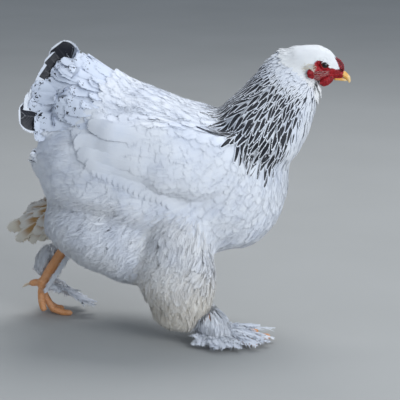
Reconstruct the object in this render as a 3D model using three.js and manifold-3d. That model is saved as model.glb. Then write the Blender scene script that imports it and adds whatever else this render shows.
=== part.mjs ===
// A feather-footed white hen with a dark-striped neck, life size, walking with her right foot forward.
// Millimetres. +X is the way she faces, +Y is her left, +Z is up, and the floor is z = 0.
import * as THREE from "three";
import { mergeVertices } from "three/addons/utils/BufferGeometryUtils.js";
import Module from "manifold-3d";

const wasm = await Module();
wasm.setup();

// ---------------------------------------------------------------- driving sizes

const GAP = 0.3; // clear space where two pieces meet
const FINEST = 0.13; // smaller steps than this are smoothed away
const CORNER = 1.15; // a corner moves this much further than the faces around it
const LEFT = 1;
const RIGHT = -1;
const SIDES = [
  ["left", LEFT],
  ["right", RIGHT],
];

const EYE = { centre: [214, 10.5, 396], radius: 8.4 };
const TAIL_ROOT = { x: -86, z: 308 }; // the point that the tail feathers fan out from
// degrees and mm; the middle feathers fall short of the fan's ends by `dip`
const TAIL_FAN = { count: 6, top: 127, bottom: 171, reach: [140, 128], dip: 8, spread: 58 };
const WING = { lean: 0.3, tips: 3 };
const TOE_RADIUS = 5.6;
const TOE_HEIGHT = 3.8; // a toe's middle lies this high, so that its sole is a narrow flat
const CLAW_RADIUS = 2.6;

// ---------------------------------------------------------------- materials

const finish = (color, roughness) => new THREE.MeshStandardMaterial({ color, roughness, metalness: 0 });
const WHITE = finish(0xeceef2, 0.9);
const CREAM = finish(0xe6dcc6, 0.9);
const STRIPED = finish(0x9a9ba3, 0.85);
const TAIL_GREY = finish(0xd4d7df, 0.85);
const RED = finish(0xb3202e, 0.5);
const LOBE = finish(0xc9373c, 0.55);
const HORN = finish(0xe9a52b, 0.35);
const LEG = finish(0xe6a676, 0.6);
const CLAW = finish(0xd9c3a0, 0.4);
const EYE_BROWN = finish(0x6b2f12, 0.15);

// ---------------------------------------------------------------- making solids

/** A closed three.js geometry as a solid that can be joined and cut, `grow` larger all round. */
function solidOf(geometry, grow = 0) {
  const bare = new THREE.BufferGeometry();
  bare.setAttribute("position", geometry.getAttribute("position"));
  bare.setIndex(geometry.getIndex());
  const merged = mergeVertices(bare, 1e-4);
  if (grow > 0) {
    merged.computeVertexNormals();
    const { position, normal } = merged.attributes;
    for (let n = 0; n < position.count; n++) {
      const moved = new THREE.Vector3().fromBufferAttribute(position, n);
      moved.addScaledVector(new THREE.Vector3().fromBufferAttribute(normal, n), grow * CORNER);
      position.setXYZ(n, ...moved.toArray());
    }
  }
  const mesh = new wasm.Mesh({
    numProp: 3,
    vertProperties: merged.attributes.position.array,
    triVerts: new Uint32Array(merged.index.array),
  });
  return new wasm.Manifold(mesh);
}

/** A solid as a three.js geometry. */
function geometryOf(solid) {
  const { vertProperties, triVerts } = solid.getMesh();
  const geometry = new THREE.BufferGeometry();
  geometry.setAttribute("position", new THREE.BufferAttribute(new Float32Array(vertProperties), 3));
  geometry.setIndex(new THREE.BufferAttribute(new Uint32Array(triVerts), 1));
  geometry.computeVertexNormals();
  return geometry;
}

const join = (solids) => solids.reduce((whole, next) => whole.add(next));

/** The solid less its neighbours, without any sliver that the cuts leave. */
function cut(solid, ...cutters) {
  const bodies = cutters.reduce((rest, cutter) => rest.subtract(cutter), solid).decompose();
  return bodies.sort((a, b) => b.volume() - a.volume())[0].simplify(FINEST);
}

/** How far an end of a form has opened, from 0 at its tip to 1, as an ellipse does. */
const opened = (share) => (share >= 1 ? 1 : Math.sqrt(1 - (1 - share) ** 2));

const bulged = (value, square) => Math.sign(value) * Math.abs(value) ** (2 / square);

const PLAIN_FORM = {
  sides: 20,
  rings: 14,
  square: 2.2,
  tent: 0,
  ends: [0.2, 0.2],
  across: [0, 1, 0],
  grow: 0,
};

/**
 * A closed rounded form along a smooth line through stations [x, y, z, side, above, below]:
 * the half sizes of its section to each side, above and below the line. `square` flattens the
 * section's sides, `tent` narrows its top, `ends` are the shares of the length that the round
 * ends take, and `across` is the way its sides face.
 */
function form(stations, options = {}) {
  const { sides, rings, square, tent, ends, across, grow } = { ...PLAIN_FORM, ...options };
  const points = stations.map(([x, y, z]) => new THREE.Vector3(x, y, z));
  const halves = stations.map(([, , , side, above, below]) => new THREE.Vector3(side, above, below));
  const line = new THREE.CatmullRomCurve3(points, false, "catmullrom", 0.5);
  const size = new THREE.CatmullRomCurve3(halves, false, "catmullrom", 0.5);
  const sideways = new THREE.Vector3(...across);

  const places = [];
  for (let ring = 0; ring <= rings; ring++) {
    const t = (1 - Math.cos((Math.PI * ring) / rings)) / 2;
    const centre = line.getPoint(t);
    const along = line.getTangent(t);
    if (ring === 0 || ring === rings) {
      places.push(centre);
      continue;
    }
    const half = size.getPoint(t).multiplyScalar(opened(t / ends[0]) * opened((1 - t) / ends[1]));
    const side = sideways.clone().addScaledVector(along, -sideways.dot(along)).normalize();
    const up = along.clone().cross(side);
    for (let k = 0; k < sides; k++) {
      const angle = (2 * Math.PI * k) / sides;
      const out = bulged(Math.cos(angle), square);
      const rise = bulged(Math.sin(angle), square);
      const width = half.x * out * (1 - tent * Math.max(0, rise));
      const height = (rise > 0 ? half.y : half.z) * rise;
      places.push(centre.clone().addScaledVector(side, width).addScaledVector(up, height));
    }
  }

  const faces = [];
  const last = places.length - 1;
  const at = (ring, k) => 1 + (ring - 1) * sides + (k % sides);
  for (let k = 0; k < sides; k++) {
    faces.push(0, at(1, k + 1), at(1, k));
    for (let ring = 1; ring < rings - 1; ring++) {
      faces.push(at(ring, k), at(ring, k + 1), at(ring + 1, k));
      faces.push(at(ring, k + 1), at(ring + 1, k + 1), at(ring + 1, k));
    }
    faces.push(last, at(rings - 1, k), at(rings - 1, k + 1));
  }
  const geometry = new THREE.BufferGeometry().setFromPoints(places);
  geometry.setIndex(faces);
  return solidOf(geometry, grow);
}

/** A round tapering limb through points [x, y, z, radius]. */
function limb(points, options = {}) {
  const stations = points.map(([x, y, z, radius]) => [x, y, z, radius, radius, radius]);
  return form(stations, { sides: 10, rings: 9, square: 2, ends: [0.12, 0.12], ...options });
}

/** One feather: a thin leaf from root to tip, widest past its middle and bowed up by `bow`. */
function feather(root, tip, { width, thick = 2.4, bow = 0, across = [0, 1, 0], grow = 0 }) {
  const from = new THREE.Vector3(...root);
  const span = new THREE.Vector3(...tip).sub(from);
  const lift = span.clone().cross(new THREE.Vector3(...across)).normalize();
  const shares = [
    [0, 0.35],
    [0.35, 0.85],
    [0.7, 1],
    [1, 0.8],
  ];
  const stations = shares.map(([t, wide]) => {
    const place = from.clone().addScaledVector(span, t).addScaledVector(lift, bow * 4 * t * (1 - t));
    return [...place.toArray(), (wide * width) / 2, thick / 2, thick / 2];
  });
  return form(stations, { sides: 4, rings: 6, square: 2, ends: [0.1, 0.3], across, grow });
}

const ball = ([x, y, z], radius, { sides = 12, grow = 0 } = {}) => {
  return solidOf(new THREE.SphereGeometry(radius, sides, sides - 4).translate(x, y, z), grow);
};

const mirrored = (stations, side) => stations.map(([x, y, ...rest]) => [x, side * y, ...rest]);

const floor = () => solidOf(new THREE.BoxGeometry(900, 900, 60).translate(0, 0, -30));

// ---------------------------------------------------------------- body

/** Breast, back and cushion from rump to breast, over the round mass of belly fluff. */
function trunkForm(grow = 0) {
  const barrel = [
    [-221, 0, 281, 14, 13, 12],
    [-205, 0, 277, 40, 30, 30],
    [-181, 0, 270, 66, 52, 52],
    [-154, 0, 262, 86, 76, 80],
    [-116, 0, 252, 100, 106, 104],
    [-72, 0, 243, 107, 124, 116],
    [-28, 0, 237, 106, 118, 121],
    [20, 0, 231, 101, 103, 116],
    [70, 0, 227, 91, 99, 108],
    [110, 0, 226, 78, 84, 98],
    [135, 0, 226, 62, 70, 80],
    [150, 0, 226, 45, 58, 60],
    [159, 0, 226, 30, 42, 34],
    [165, 0, 226, 14, 22, 12],
  ];
  const fluff = [
    [-184, 0, 182, 34, 22, 18],
    [-166, 0, 171, 70, 48, 38],
    [-130, 0, 158, 94, 66, 50],
    [-90, 0, 147, 103, 76, 60],
    [-52, 0, 140, 100, 76, 70],
    [-20, 0, 138, 84, 66, 63],
    [6, 0, 142, 50, 44, 38],
  ];
  const back = form(barrel, { sides: 20, rings: 16, square: 2.3, tent: 0.16, ends: [0.05, 0.05], grow });
  return join([back, form(fluff, { sides: 18, rings: 9, ends: [0.1, 0.12], grow })]);
}

/** The neck in its cape, from the head down over the shoulders. `above` is the throat's side here. */
function neckForm(grow = 0) {
  const stations = [
    [192, 0, 397, 15, 18, 26],
    [176, 0, 382, 25, 38, 46],
    [163, 0, 359, 34, 47, 51],
    [150, 0, 336, 46, 56, 57],
    [136, 0, 314, 61, 61, 60],
    [119, 0, 294, 73, 66, 66],
    [100, 0, 272, 76, 72, 76],
  ];
  return form(stations, { sides: 18, rings: 9, square: 2.1, ends: [0.16, 0.2], grow });
}

/** The skull, cheeks and throat under the crown's short feathers. */
function headForm(grow = 0) {
  const stations = [
    [160, 0, 397, 21, 22, 24],
    [180, 0, 399, 22, 22.5, 28],
    [200, 0, 398, 21.5, 25.5, 31],
    [215, 0, 393, 18.5, 23, 26],
    [227, 0, 387, 13, 15, 15],
    [235, 0, 382, 8.5, 7.5, 8],
    [241, 0, 379, 6, 5, 5],
  ];
  return form(stations, { sides: 14, rings: 10, square: 2.15, tent: 0.12, ends: [0.15, 0.08], grow });
}

const eyeForm = (side, grow = 0) => {
  const [x, y, z] = EYE.centre;
  return ball([x, side * y, z], EYE.radius, { grow });
};

/** A folded wing: the shoulder in front, the flight feathers' tips behind. */
function wingForm(side, grow = 0) {
  const stations = [
    [106, 66, 264, 12, 24, 24],
    [84, 74, 267, 19, 38, 43],
    [42, 82, 270, 24, 47, 56],
    [-2, 87, 276, 25, 51, 56],
    [-42, 88, 286, 23, 46, 47],
    [-78, 87, 288, 18, 36, 34],
    [-101, 86, 287, 12, 24, 19],
  ];
  const hug = [0, -1, -WING.lean * side]; // leans the wing in over the back
  const options = { sides: 12, rings: 8, ends: [0.15, 0.2], across: hug, grow };
  const bow = form(mirrored(stations, side), options);
  const flights = [];
  for (let n = 0; n < WING.tips; n++) {
    const share = n / (WING.tips - 1);
    const root = [-50, side * (99 - 5 * share), 262 + 40 * share];
    const tip = [-121 + 20 * share, side * (92 - 12 * share), 281 + 36 * share];
    const across = [0.35, -WING.lean * side, 1];
    flights.push(feather(root, tip, { width: 30, thick: 6, bow: 2 * side, across, grow }));
  }
  return join([bow, ...flights]);
}

/** The tail: a body of coverts, tent-shaped, with the main feathers fanned out of it. */
function tailForm(grow = 0) {
  const coverts = [
    [-20, 0, 292, 66, 44, 40],
    [-64, 0, 312, 76, 52, 50],
    [-104, 0, 331, 76, 55, 60],
    [-142, 0, 347, 66, 65, 66],
    [-171, 0, 357, 52, 59, 62],
    [-190, 0, 363, 34, 42, 48],
  ];
  const options = { sides: 14, rings: 8, tent: 0.55, ends: [0.12, 0.22], across: [0, -1, 0], grow };
  const { count, top, bottom, reach, dip, spread } = TAIL_FAN;
  const fan = [];
  for (const [, side] of SIDES) {
    for (let n = 0; n < count; n++) {
      const share = n / (count - 1);
      const angle = THREE.MathUtils.degToRad(top + (bottom - top) * share);
      const out = [Math.cos(angle), Math.sin(angle)];
      const y = side * (5 + spread * share ** 1.2);
      const far = reach[0] + (reach[1] - reach[0]) * share - dip * Math.sin(Math.PI * share);
      const root = [TAIL_ROOT.x + out[0] * 40, y * 0.6, TAIL_ROOT.z + out[1] * 40];
      const tip = [TAIL_ROOT.x + out[0] * far, y, TAIL_ROOT.z + out[1] * far];
      const across = [-out[1], 0.45 * side * share, out[0]];
      fan.push(feather(root, tip, { width: 44, thick: 5, bow: 4 * side, across, grow }));
    }
  }
  return join([form(coverts, options), ...fan]);
}

// ---------------------------------------------------------------- head pieces

/** The low comb of three pebbled ridges on the forehead. */
function combForm(grow = 0) {
  const ridges = [
    { y: 0, height: 5.8, width: 3, peas: 4 },
    { y: 3.9, height: 5.6, width: 2.9, peas: 3 },
    { y: -3.9, height: 5.6, width: 2.9, peas: 3 },
  ];
  const solids = ridges.flatMap(({ y, height, width, peas }) => {
    const low = Math.abs(y) * 0.3;
    const brow = [
      [219, y, 407 - low, width, 2.6, 5],
      [229, y, 401 - low, width, height, 5],
      [236, y, 394 - low, width, height, 5],
      [241, y, 387 - low, width * 0.8, 3, 4],
    ];
    const ridge = form(brow, { sides: 6, rings: 6, square: 2, grow });
    const bumps = [];
    for (let n = 0; n < peas; n++) {
      const share = (n + 0.5) / peas;
      const place = [224.5 + 15.5 * share, y, 408 - low - 14 * share - 4 * share ** 2];
      bumps.push(ball(place, 2.5, { sides: 8, grow }));
    }
    return [ridge, ...bumps];
  });
  return join(solids);
}

function upperBeakForm(grow = 0) {
  const stations = [
    [230, 0, 382, 7.6, 5.5, 4.5],
    [238, 0, 381.5, 6.8, 5.6, 4],
    [245, 0, 378.5, 5, 4.8, 3.6],
    [249, 0, 373, 2.6, 2.8, 2.8],
    [249.6, 0, 368.5, 1, 1, 1],
  ];
  return form(stations, { sides: 8, rings: 7, square: 2, ends: [0.1, 0.08], grow });
}

function lowerBeakForm(grow = 0) {
  const stations = [
    [226, 0, 376, 6, 3, 4],
    [235, 0, 375, 5.6, 2.6, 3.2],
    [242, 0, 373.4, 4, 2.2, 2.4],
    [246.5, 0, 371.8, 2, 1.2, 1.2],
  ];
  return form(stations, { sides: 8, rings: 5, square: 2, ends: [0.1, 0.25], grow });
}

/** The small wattle under the jaw. */
function wattleForm(side, grow = 0) {
  const stations = [
    [227, 11, 379.5, 3, 3, 3],
    [222, 12.5, 376.5, 3.8, 5.5, 5.5],
    [215, 14, 372, 4, 6.2, 6.2],
    [208, 14.5, 369, 2.6, 4, 4],
  ];
  return form(mirrored(stations, side), { sides: 8, rings: 7, square: 2, grow });
}

/** The ear lobe, low on the cheek behind the eye. */
function lobeForm(side, grow = 0) {
  const stations = [
    [193, 22, 390, 2.2, 4, 4],
    [194.5, 22.5, 384, 3.2, 5, 5],
    [198, 21.5, 377, 2.8, 4.2, 4.2],
  ];
  return form(mirrored(stations, side), { sides: 8, rings: 6, square: 2, ends: [0.4, 0.4], grow });
}

// ---------------------------------------------------------------- legs

/** The right thigh and hock, straight under the body, in a deep puff of soft feathers. */
function rightThighForm(grow = 0) {
  const stations = [
    [18, -58, 214, 36, 30, 30],
    [18, -67, 176, 43, 41, 40],
    [15, -71, 138, 46, 46, 52],
    [12, -70, 102, 46, 54, 56],
    [11, -68, 72, 43, 54, 54],
    [8, -66, 50, 37, 47, 44],
    [-1, -64, 33, 27, 34, 31],
    [-6, -63, 22, 18, 22, 20],
  ];
  return form(stations, { sides: 14, rings: 10, ends: [0.12, 0.1], grow });
}

/** The left thigh and hock, pushed back behind the belly. */
function leftThighForm(grow = 0) {
  const stations = [
    [-88, 56, 208, 36, 34, 34],
    [-114, 63, 180, 42, 42, 44],
    [-142, 64, 156, 38, 38, 44],
    [-165, 58, 135, 30, 28, 42],
    [-178, 52, 114, 20, 17, 28],
  ];
  return form(stations, { sides: 14, rings: 9, ends: [0.14, 0.2], grow });
}

const SHANK = {
  right: [
    [-2, -57, 78, 9.5],
    [20, -54, 60, 8.4],
    [50, -51, 34, 7.8],
    [76, -48, 10, 8.6],
  ],
  left: [
    [-150, 46, 132, 9.5],
    [-168, 46, 108, 8.4],
    [-188, 48, 78, 7.8],
    [-205, 51, 49, 8.6],
  ],
};

const shankForm = (name, grow = 0) => limb(SHANK[name], { sides: 10, rings: 6, grow });

// Each toe starts inside the shank's foot and ends where its claw starts.
const flat = TOE_HEIGHT;
const TOES = {
  right: {
    back: [[76, -48, 8.2], [60, -52, 7], [42, -57, flat]],
    inner: [[76, -48, 8.2], [95, -38, 6], [114, -25, flat], [124, -18, flat]],
    middle: [[76, -48, 8.2], [100, -47, 6], [125, -45, flat], [144, -44, flat]],
    outer: [[76, -48, 8.2], [96, -58, 6], [114, -70, flat], [126, -79, flat]],
  },
  left: {
    back: [[-205, 51, 49], [-216, 54, 49], [-226, 57, 46]],
    inner: [[-205, 51, 49], [-207, 44, 32], [-204, 38, 17], [-200, 35, 10]],
    middle: [[-205, 51, 49], [-203, 52, 28], [-190, 51, 9], [-174, 50, flat], [-160, 50, flat]],
    outer: [[-205, 51, 49], [-206, 62, 30], [-198, 70, 11], [-188, 74, flat], [-177, 77, flat]],
  },
};
const TOE_NAMES = ["back", "inner", "middle", "outer"];

/** The four toes with the pad that joins them, flat where they stand on the floor. */
function footForm(name, grow = 0) {
  const toes = TOE_NAMES.map((toe) => {
    const points = TOES[name][toe];
    const end = points.length - 1;
    const round = points.map(([x, y, z], n) => [x, y, z, TOE_RADIUS * (1.08 - 0.24 * (n / end))]);
    return limb(round, { sides: 6, rings: 6, ends: [0.1, 0.14], grow });
  });
  const pad = ball(TOES[name].middle[0], 9.4, { sides: 10, grow });
  return join([pad, ...toes]);
}

/** A claw, from inside the toe's end forward and down to the floor. */
function clawForm(name, toe, grow = 0) {
  const points = TOES[name][toe].map((point) => new THREE.Vector3(...point));
  const end = points[points.length - 1];
  const ahead = end.clone().sub(points[points.length - 2]).normalize();
  const tip = end.clone().addScaledVector(ahead, 14);
  tip.z = Math.max(1.2, tip.z - 4);
  const bend = end.clone().lerp(tip, 0.55);
  bend.z += 1.6;
  const base = end.clone().addScaledVector(ahead, -2);
  const stations = [
    [...base.toArray(), CLAW_RADIUS],
    [...bend.toArray(), CLAW_RADIUS * 0.85],
    [...tip.toArray(), CLAW_RADIUS * 0.35],
  ];
  return limb(stations, { sides: 5, rings: 4, grow });
}

/** Stiff long feathers that stand back from the left hock. */
function hockFeathersForm(grow = 0) {
  const tips = [
    [-252, 46, 121],
    [-245, 58, 110],
    [-233, 42, 104],
    [-216, 66, 108],
  ];
  const solids = tips.map((tip, n) => {
    const root = [-160 + 3 * n, 50 + 4 * (n % 2), 150 - 8 * n];
    return feather(root, tip, { width: 30, thick: 6, bow: 8, across: [0.3, 0.6, 0.5], grow });
  });
  const puff = [
    [-170, 56, 160, 20],
    [-196, 55, 151, 22],
    [-220, 54, 136, 18],
    [-236, 52, 124, 10],
  ];
  return join([...solids, limb(puff, { grow })]);
}

/** The feathers down the outer side of a shank. */
function shankFeathersForm(name, grow = 0) {
  const stations = {
    right: [
      [26, -61, 60, 20, 15, 17],
      [46, -65, 45, 27, 19, 24],
      [67, -70, 29, 30, 17, 22],
      [90, -73, 15, 28, 10, 12],
    ],
    left: [
      [-174, 60, 106, 14, 16, 18],
      [-190, 64, 88, 18, 20, 24],
      [-202, 67, 70, 17, 20, 20],
      [-206, 69, 56, 13, 15, 12],
    ],
  }[name];
  return form(stations, { sides: 10, rings: 6, ends: [0.25, 0.35], grow });
}

/** The long feathers that fan out over a foot from its outer and middle toes. */
function footFeathersForm(name) {
  const fans = {
    right: { heart: [80, -60, 13], from: -8, to: -128, reach: [72, 60], count: 7, root: 14, end: 3.6 },
    left: { heart: [-196, 62, 36], from: -4, to: 78, reach: [72, 46], count: 5, root: 8, end: 10 },
  };
  const { heart, from, to, reach, count, root, end } = fans[name];
  const blades = [];
  for (let n = 0; n < count; n++) {
    const share = n / (count - 1);
    const angle = THREE.MathUtils.degToRad(from + (to - from) * share);
    const way = [Math.cos(angle), Math.sin(angle)];
    const far = reach[0] + (reach[1] - reach[0]) * share + (n % 2 ? -7 : 4);
    const start = [heart[0] + way[0] * root, heart[1] + way[1] * root, heart[2]];
    const tip = [heart[0] + way[0] * far, heart[1] + way[1] * far, end + (n % 3)];
    blades.push(feather(start, tip, { width: 27, thick: 5, bow: 3, across: [-way[1], way[0], 0] }));
  }
  const mound = [
    [heart[0] - 14, heart[1] - 3, heart[2] + 5, 14, 9, 9],
    [heart[0] + 6, heart[1] - 5, heart[2] + 3, 21, 11, 9],
    [heart[0] + 30, heart[1] - 2, heart[2] - 3, 16, 8, 6],
  ];
  return join([form(mound, { sides: 8, rings: 6 }), ...blades]);
}

// ---------------------------------------------------------------- the hen

const hen = new THREE.Group();

function add(name, solid, material) {
  const mesh = new THREE.Mesh(geometryOf(solid), material);
  mesh.name = name;
  hen.add(mesh);
}

const grown = {
  trunk: trunkForm(GAP),
  neck: neckForm(GAP),
  head: headForm(GAP),
  tail: tailForm(GAP),
  beak: upperBeakForm(GAP),
  thigh: { left: leftThighForm(GAP), right: rightThighForm(GAP) },
  wing: { left: wingForm(LEFT, GAP), right: wingForm(RIGHT, GAP) },
};
const thighs = { left: leftThighForm(), right: rightThighForm() };
const ground = floor();

add("trunk", trunkForm(), WHITE);
add("neck", cut(neckForm(), grown.trunk, grown.head), STRIPED);
add("tail", cut(tailForm(), grown.trunk, grown.wing.left, grown.wing.right), TAIL_GREY);
add("head", cut(headForm(), eyeForm(LEFT, GAP), eyeForm(RIGHT, GAP)), WHITE);
add("beak_upper", cut(upperBeakForm(), grown.head), HORN);
add("beak_lower", cut(lowerBeakForm(), grown.head, grown.beak), HORN);
add("comb", cut(combForm(), grown.head, grown.beak), RED);

for (const [name, side] of SIDES) {
  const { thigh, wing } = grown;
  add("eye_" + name, eyeForm(side), EYE_BROWN);
  add("wattle_" + name, cut(wattleForm(side), grown.head, grown.neck, lowerBeakForm(GAP)), RED);
  add("ear_lobe_" + name, cut(lobeForm(side), grown.head, grown.neck, wattleForm(side, GAP)), LOBE);
  add("wing_" + name, cut(wingForm(side), grown.trunk, grown.neck), WHITE);
  add("thigh_" + name, cut(thighs[name], grown.trunk, wing[name]), CREAM);

  const shank = shankForm(name, GAP);
  const foot = footForm(name, GAP);
  add("shank_" + name, cut(shankForm(name), grown.trunk, thigh[name], foot), LEG);
  add("foot_" + name, cut(footForm(name), ground, thigh[name]), LEG);
  for (const toe of TOE_NAMES) add(`claw_${name}_${toe}`, cut(clawForm(name, toe), foot), CLAW);

  const sleeve = shankFeathersForm(name, GAP);
  const claws = TOE_NAMES.map((toe) => clawForm(name, toe, GAP));
  const leg = [grown.trunk, thigh[name], shank, foot];
  add("shank_feathers_" + name, cut(shankFeathersForm(name), ...leg), WHITE);
  const around = [sleeve, ...leg, ground, ...claws];
  add("foot_feathers_" + name, cut(footFeathersForm(name), ...around), WHITE);
}
add("hock_feathers_left", cut(hockFeathersForm(), grown.thigh.left, grown.trunk), CREAM);

// The origin is the middle of the hen's own box, on the floor.
const box = new THREE.Box3().setFromObject(hen);
const middle = box.getCenter(new THREE.Vector3());
hen.position.set(-middle.x, -middle.y, 0);

export default hen;
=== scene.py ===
import math
import time

import bmesh
import bpy
import numpy as np
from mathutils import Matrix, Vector, noise
from mathutils.bvhtree import BVHTree
from mathutils.kdtree import KDTree


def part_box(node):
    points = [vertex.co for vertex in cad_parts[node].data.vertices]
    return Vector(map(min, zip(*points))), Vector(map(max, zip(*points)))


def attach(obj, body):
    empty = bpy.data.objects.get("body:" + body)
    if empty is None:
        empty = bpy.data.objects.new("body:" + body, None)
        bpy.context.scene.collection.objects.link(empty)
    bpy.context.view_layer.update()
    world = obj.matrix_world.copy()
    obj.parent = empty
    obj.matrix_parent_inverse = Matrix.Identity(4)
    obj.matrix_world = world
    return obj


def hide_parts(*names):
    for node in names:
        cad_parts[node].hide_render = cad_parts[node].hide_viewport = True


# A white feather-footed hen with a dark-striped cape, walking. Metres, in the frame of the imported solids.
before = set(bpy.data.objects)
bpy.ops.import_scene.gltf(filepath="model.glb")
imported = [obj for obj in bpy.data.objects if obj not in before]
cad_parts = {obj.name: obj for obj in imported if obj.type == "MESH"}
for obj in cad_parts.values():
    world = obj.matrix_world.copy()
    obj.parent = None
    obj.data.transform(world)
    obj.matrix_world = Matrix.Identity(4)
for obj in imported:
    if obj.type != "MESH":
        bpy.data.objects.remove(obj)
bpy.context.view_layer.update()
mm = 0.001
started = time.time()


def report(words):
    print(f"{words}, {time.time() - started:.0f} s")


# ---- measuring the frame

def spot(node, x, y, z):
    # a place in a solid's box, as shares of its length, width and height
    low, high = (np.array(corner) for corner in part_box(node))
    return low + (high - low) * np.array((x, y, z))


def treeOf(node):
    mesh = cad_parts[node].data
    return BVHTree.FromPolygons([v.co for v in mesh.vertices], [p.vertices for p in mesh.polygons])


def unit(vectors):
    return vectors / np.maximum(np.linalg.norm(vectors, axis=-1, keepdims=True), 1e-12)


def smoothStep(low, high, value):
    share = np.clip((value - low) / (high - low), 0, 1)
    return share * share * (3 - 2 * share)


def mix(a, b, share):
    return a + (b - a) * share


def wobble(points, scale, seed=0.0):
    # soft noise from -1 to 1 at each point, with features about `scale` across
    shift = Vector((seed, seed * 1.7, -seed))
    return np.array([noise.noise(Vector(p) / scale + shift) for p in points.tolist()])


eyes = {side: spot("eye_" + side, 0.5, 0.5, 0.5) for side in ("left", "right")}
middleY = (eyes["left"][1] + eyes["right"][1]) / 2
eyeRadius = (spot("eye_left", 1, 0, 0) - spot("eye_left", 0, 0, 0))[0] / 2
sideSign = {"left": 1, "right": -1}


# ---- making meshes

def addPiece(name, mesh, replaced=(), materials=()):
    piece = bpy.data.objects.new(name, mesh)
    bpy.context.scene.collection.objects.link(piece)
    for material in materials:
        mesh.materials.append(material)
    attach(piece, "root")
    if replaced:
        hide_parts(*replaced)
    return piece


def keepLargest(mesh, number):
    # drops the small closed bubbles that casting leaves inside
    bm = bmesh.new()
    bm.from_mesh(mesh)
    waiting, islands = set(bm.verts), []
    while waiting:
        island, edge = [], [waiting.pop()]
        while edge:
            vert = edge.pop()
            island.append(vert)
            for link in vert.link_edges:
                other = link.other_vert(vert)
                if other in waiting:
                    waiting.discard(other)
                    edge.append(other)
        islands.append(island)
    islands.sort(key=len, reverse=True)
    bmesh.ops.delete(bm, geom=[vert for island in islands[number:] for vert in island])
    bm.to_mesh(mesh)
    bm.free()


def castSolid(nodes, voxel, soften, grow=0.4 * mm, islands=1):
    # the solids as one closed surface with rounded facets; `grow` closes the gaps between them
    bm = bmesh.new()
    for node in nodes:
        bm.from_mesh(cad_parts[node].data)
    bmesh.ops.remove_doubles(bm, verts=bm.verts, dist=0.01 * mm)
    bmesh.ops.recalc_face_normals(bm, faces=bm.faces)
    bm.normal_update()
    for vert in bm.verts:
        vert.co += vert.normal * grow
    mesh = bpy.data.meshes.new("cast")
    bm.to_mesh(mesh)
    bm.free()
    cast = bpy.data.objects.new("cast", mesh)
    bpy.context.scene.collection.objects.link(cast)
    remesh = cast.modifiers.new("remesh", "REMESH")
    remesh.mode = "VOXEL"
    remesh.voxel_size = voxel
    smooth = cast.modifiers.new("smooth", "SMOOTH")
    smooth.factor = 0.5
    smooth.iterations = soften
    made = bpy.data.meshes.new_from_object(cast.evaluated_get(bpy.context.evaluated_depsgraph_get()))
    bpy.data.objects.remove(cast)
    bpy.data.meshes.remove(mesh)
    keepLargest(made, islands)
    return made


def pointsOf(mesh):
    points = np.empty(len(mesh.vertices) * 3)
    mesh.vertices.foreach_get("co", points)
    return points.reshape(-1, 3)


def normalsOf(mesh):
    normals = np.empty(len(mesh.vertices) * 3)
    mesh.vertex_normals.foreach_get("vector", normals)
    return normals.reshape(-1, 3)


def movePoints(mesh, points):
    mesh.vertices.foreach_set("co", points.reshape(-1))
    mesh.update()


def setAttribute(mesh, name, values):
    layer = mesh.attributes.new(name, "FLOAT", "POINT")
    layer.data.foreach_set("value", np.asarray(values, dtype=np.float32))


def relaxed(mesh, points, share, rounds):
    # evens the surface out where share is near 1
    edges = np.empty(len(mesh.edges) * 2, dtype=np.int64)
    mesh.edges.foreach_get("vertices", edges)
    a, b = edges.reshape(-1, 2).T
    links = np.maximum(np.bincount(a, minlength=len(points)) + np.bincount(b, minlength=len(points)), 1)
    for _ in range(rounds):
        total = np.zeros_like(points)
        for axis in range(3):
            total[:, axis] = (np.bincount(a, points[b, axis], len(points))
                              + np.bincount(b, points[a, axis], len(points)))
        points = points + (total / links[:, None] - points) * (0.6 * share)[:, None]
    return points


def distancesTo(tree, points, reach=1.0):
    found = (tree.find_nearest(p, reach) for p in points.tolist())
    return np.array([reach if f[3] is None else f[3] for f in found])


# ---- the skin: one surface under all the plumage, bare on the face and legs

fleshNodes = ["comb", "wattle_left", "wattle_right", "ear_lobe_left", "ear_lobe_right"]
skinPlan = {
    "bodyNodes": ["trunk", "neck", "head", "tail", "wing_left", "wing_right", "thigh_left", "thigh_right"],
    "headNodes": ["head", "neck", *fleshNodes, "eye_left", "eye_right"],
    "legNodes": ["shank_left", "foot_left", "shank_right", "foot_right"],
    "bodyVoxel": 3.8 * mm, "softenBody": 9,
    "headVoxel": 0.8 * mm, "softenHead": 3,
    "legVoxel": 1.25 * mm, "softenLegs": 4,
    "joinAt": 0.72,  # share of the way up the neck where the fine head meets the body
    "tailEnd": ("tail", 0.34, 0.5, 0.6), "endFacing": (-0.93, 0, 0.36),  # where the flesh ends in the tail
    "coatDepth": {"trunk": 6.0, "neck": 4.5, "head": 1.2, "tail": 4.0, "wing": 4.0, "thigh": 7.0,
                  "comb": 0.1, "wattle": 0.1, "ear_lobe": 0.1, "beak": -0.7},  # mm
    "depthBlend": {"head": 7.0, "neck": 7.0, "trunk": 7.0},  # mm over which one depth fades into another
    "plainBlend": 1.4,  # the same for the other regions
    "blendWeight": 40,  # wide blends would otherwise weigh too little
    "swell": 3.0 * mm, "swellSize": 34 * mm,  # low swells of the plumage over the trunk
}

neckFoot = spot("neck", 0.15, 0.5, 0.2)
neckWay = spot("head", 0.4, 0.5, 0.5) - neckFoot
joinPlace = neckFoot + neckWay * skinPlan["joinAt"]
neckWay = neckWay / np.linalg.norm(neckWay)


def cutAtNeck(mesh, keepHead):
    bm = bmesh.new()
    bm.from_mesh(mesh)
    way = neckWay if keepHead else -neckWay
    geometry = bm.verts[:] + bm.edges[:] + bm.faces[:]
    place = joinPlace + neckWay * (0.8 * mm if keepHead else -0.8 * mm)
    bmesh.ops.bisect_plane(bm, geom=geometry, dist=1e-6, plane_co=place, plane_no=way, clear_inner=True)
    return bm


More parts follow.
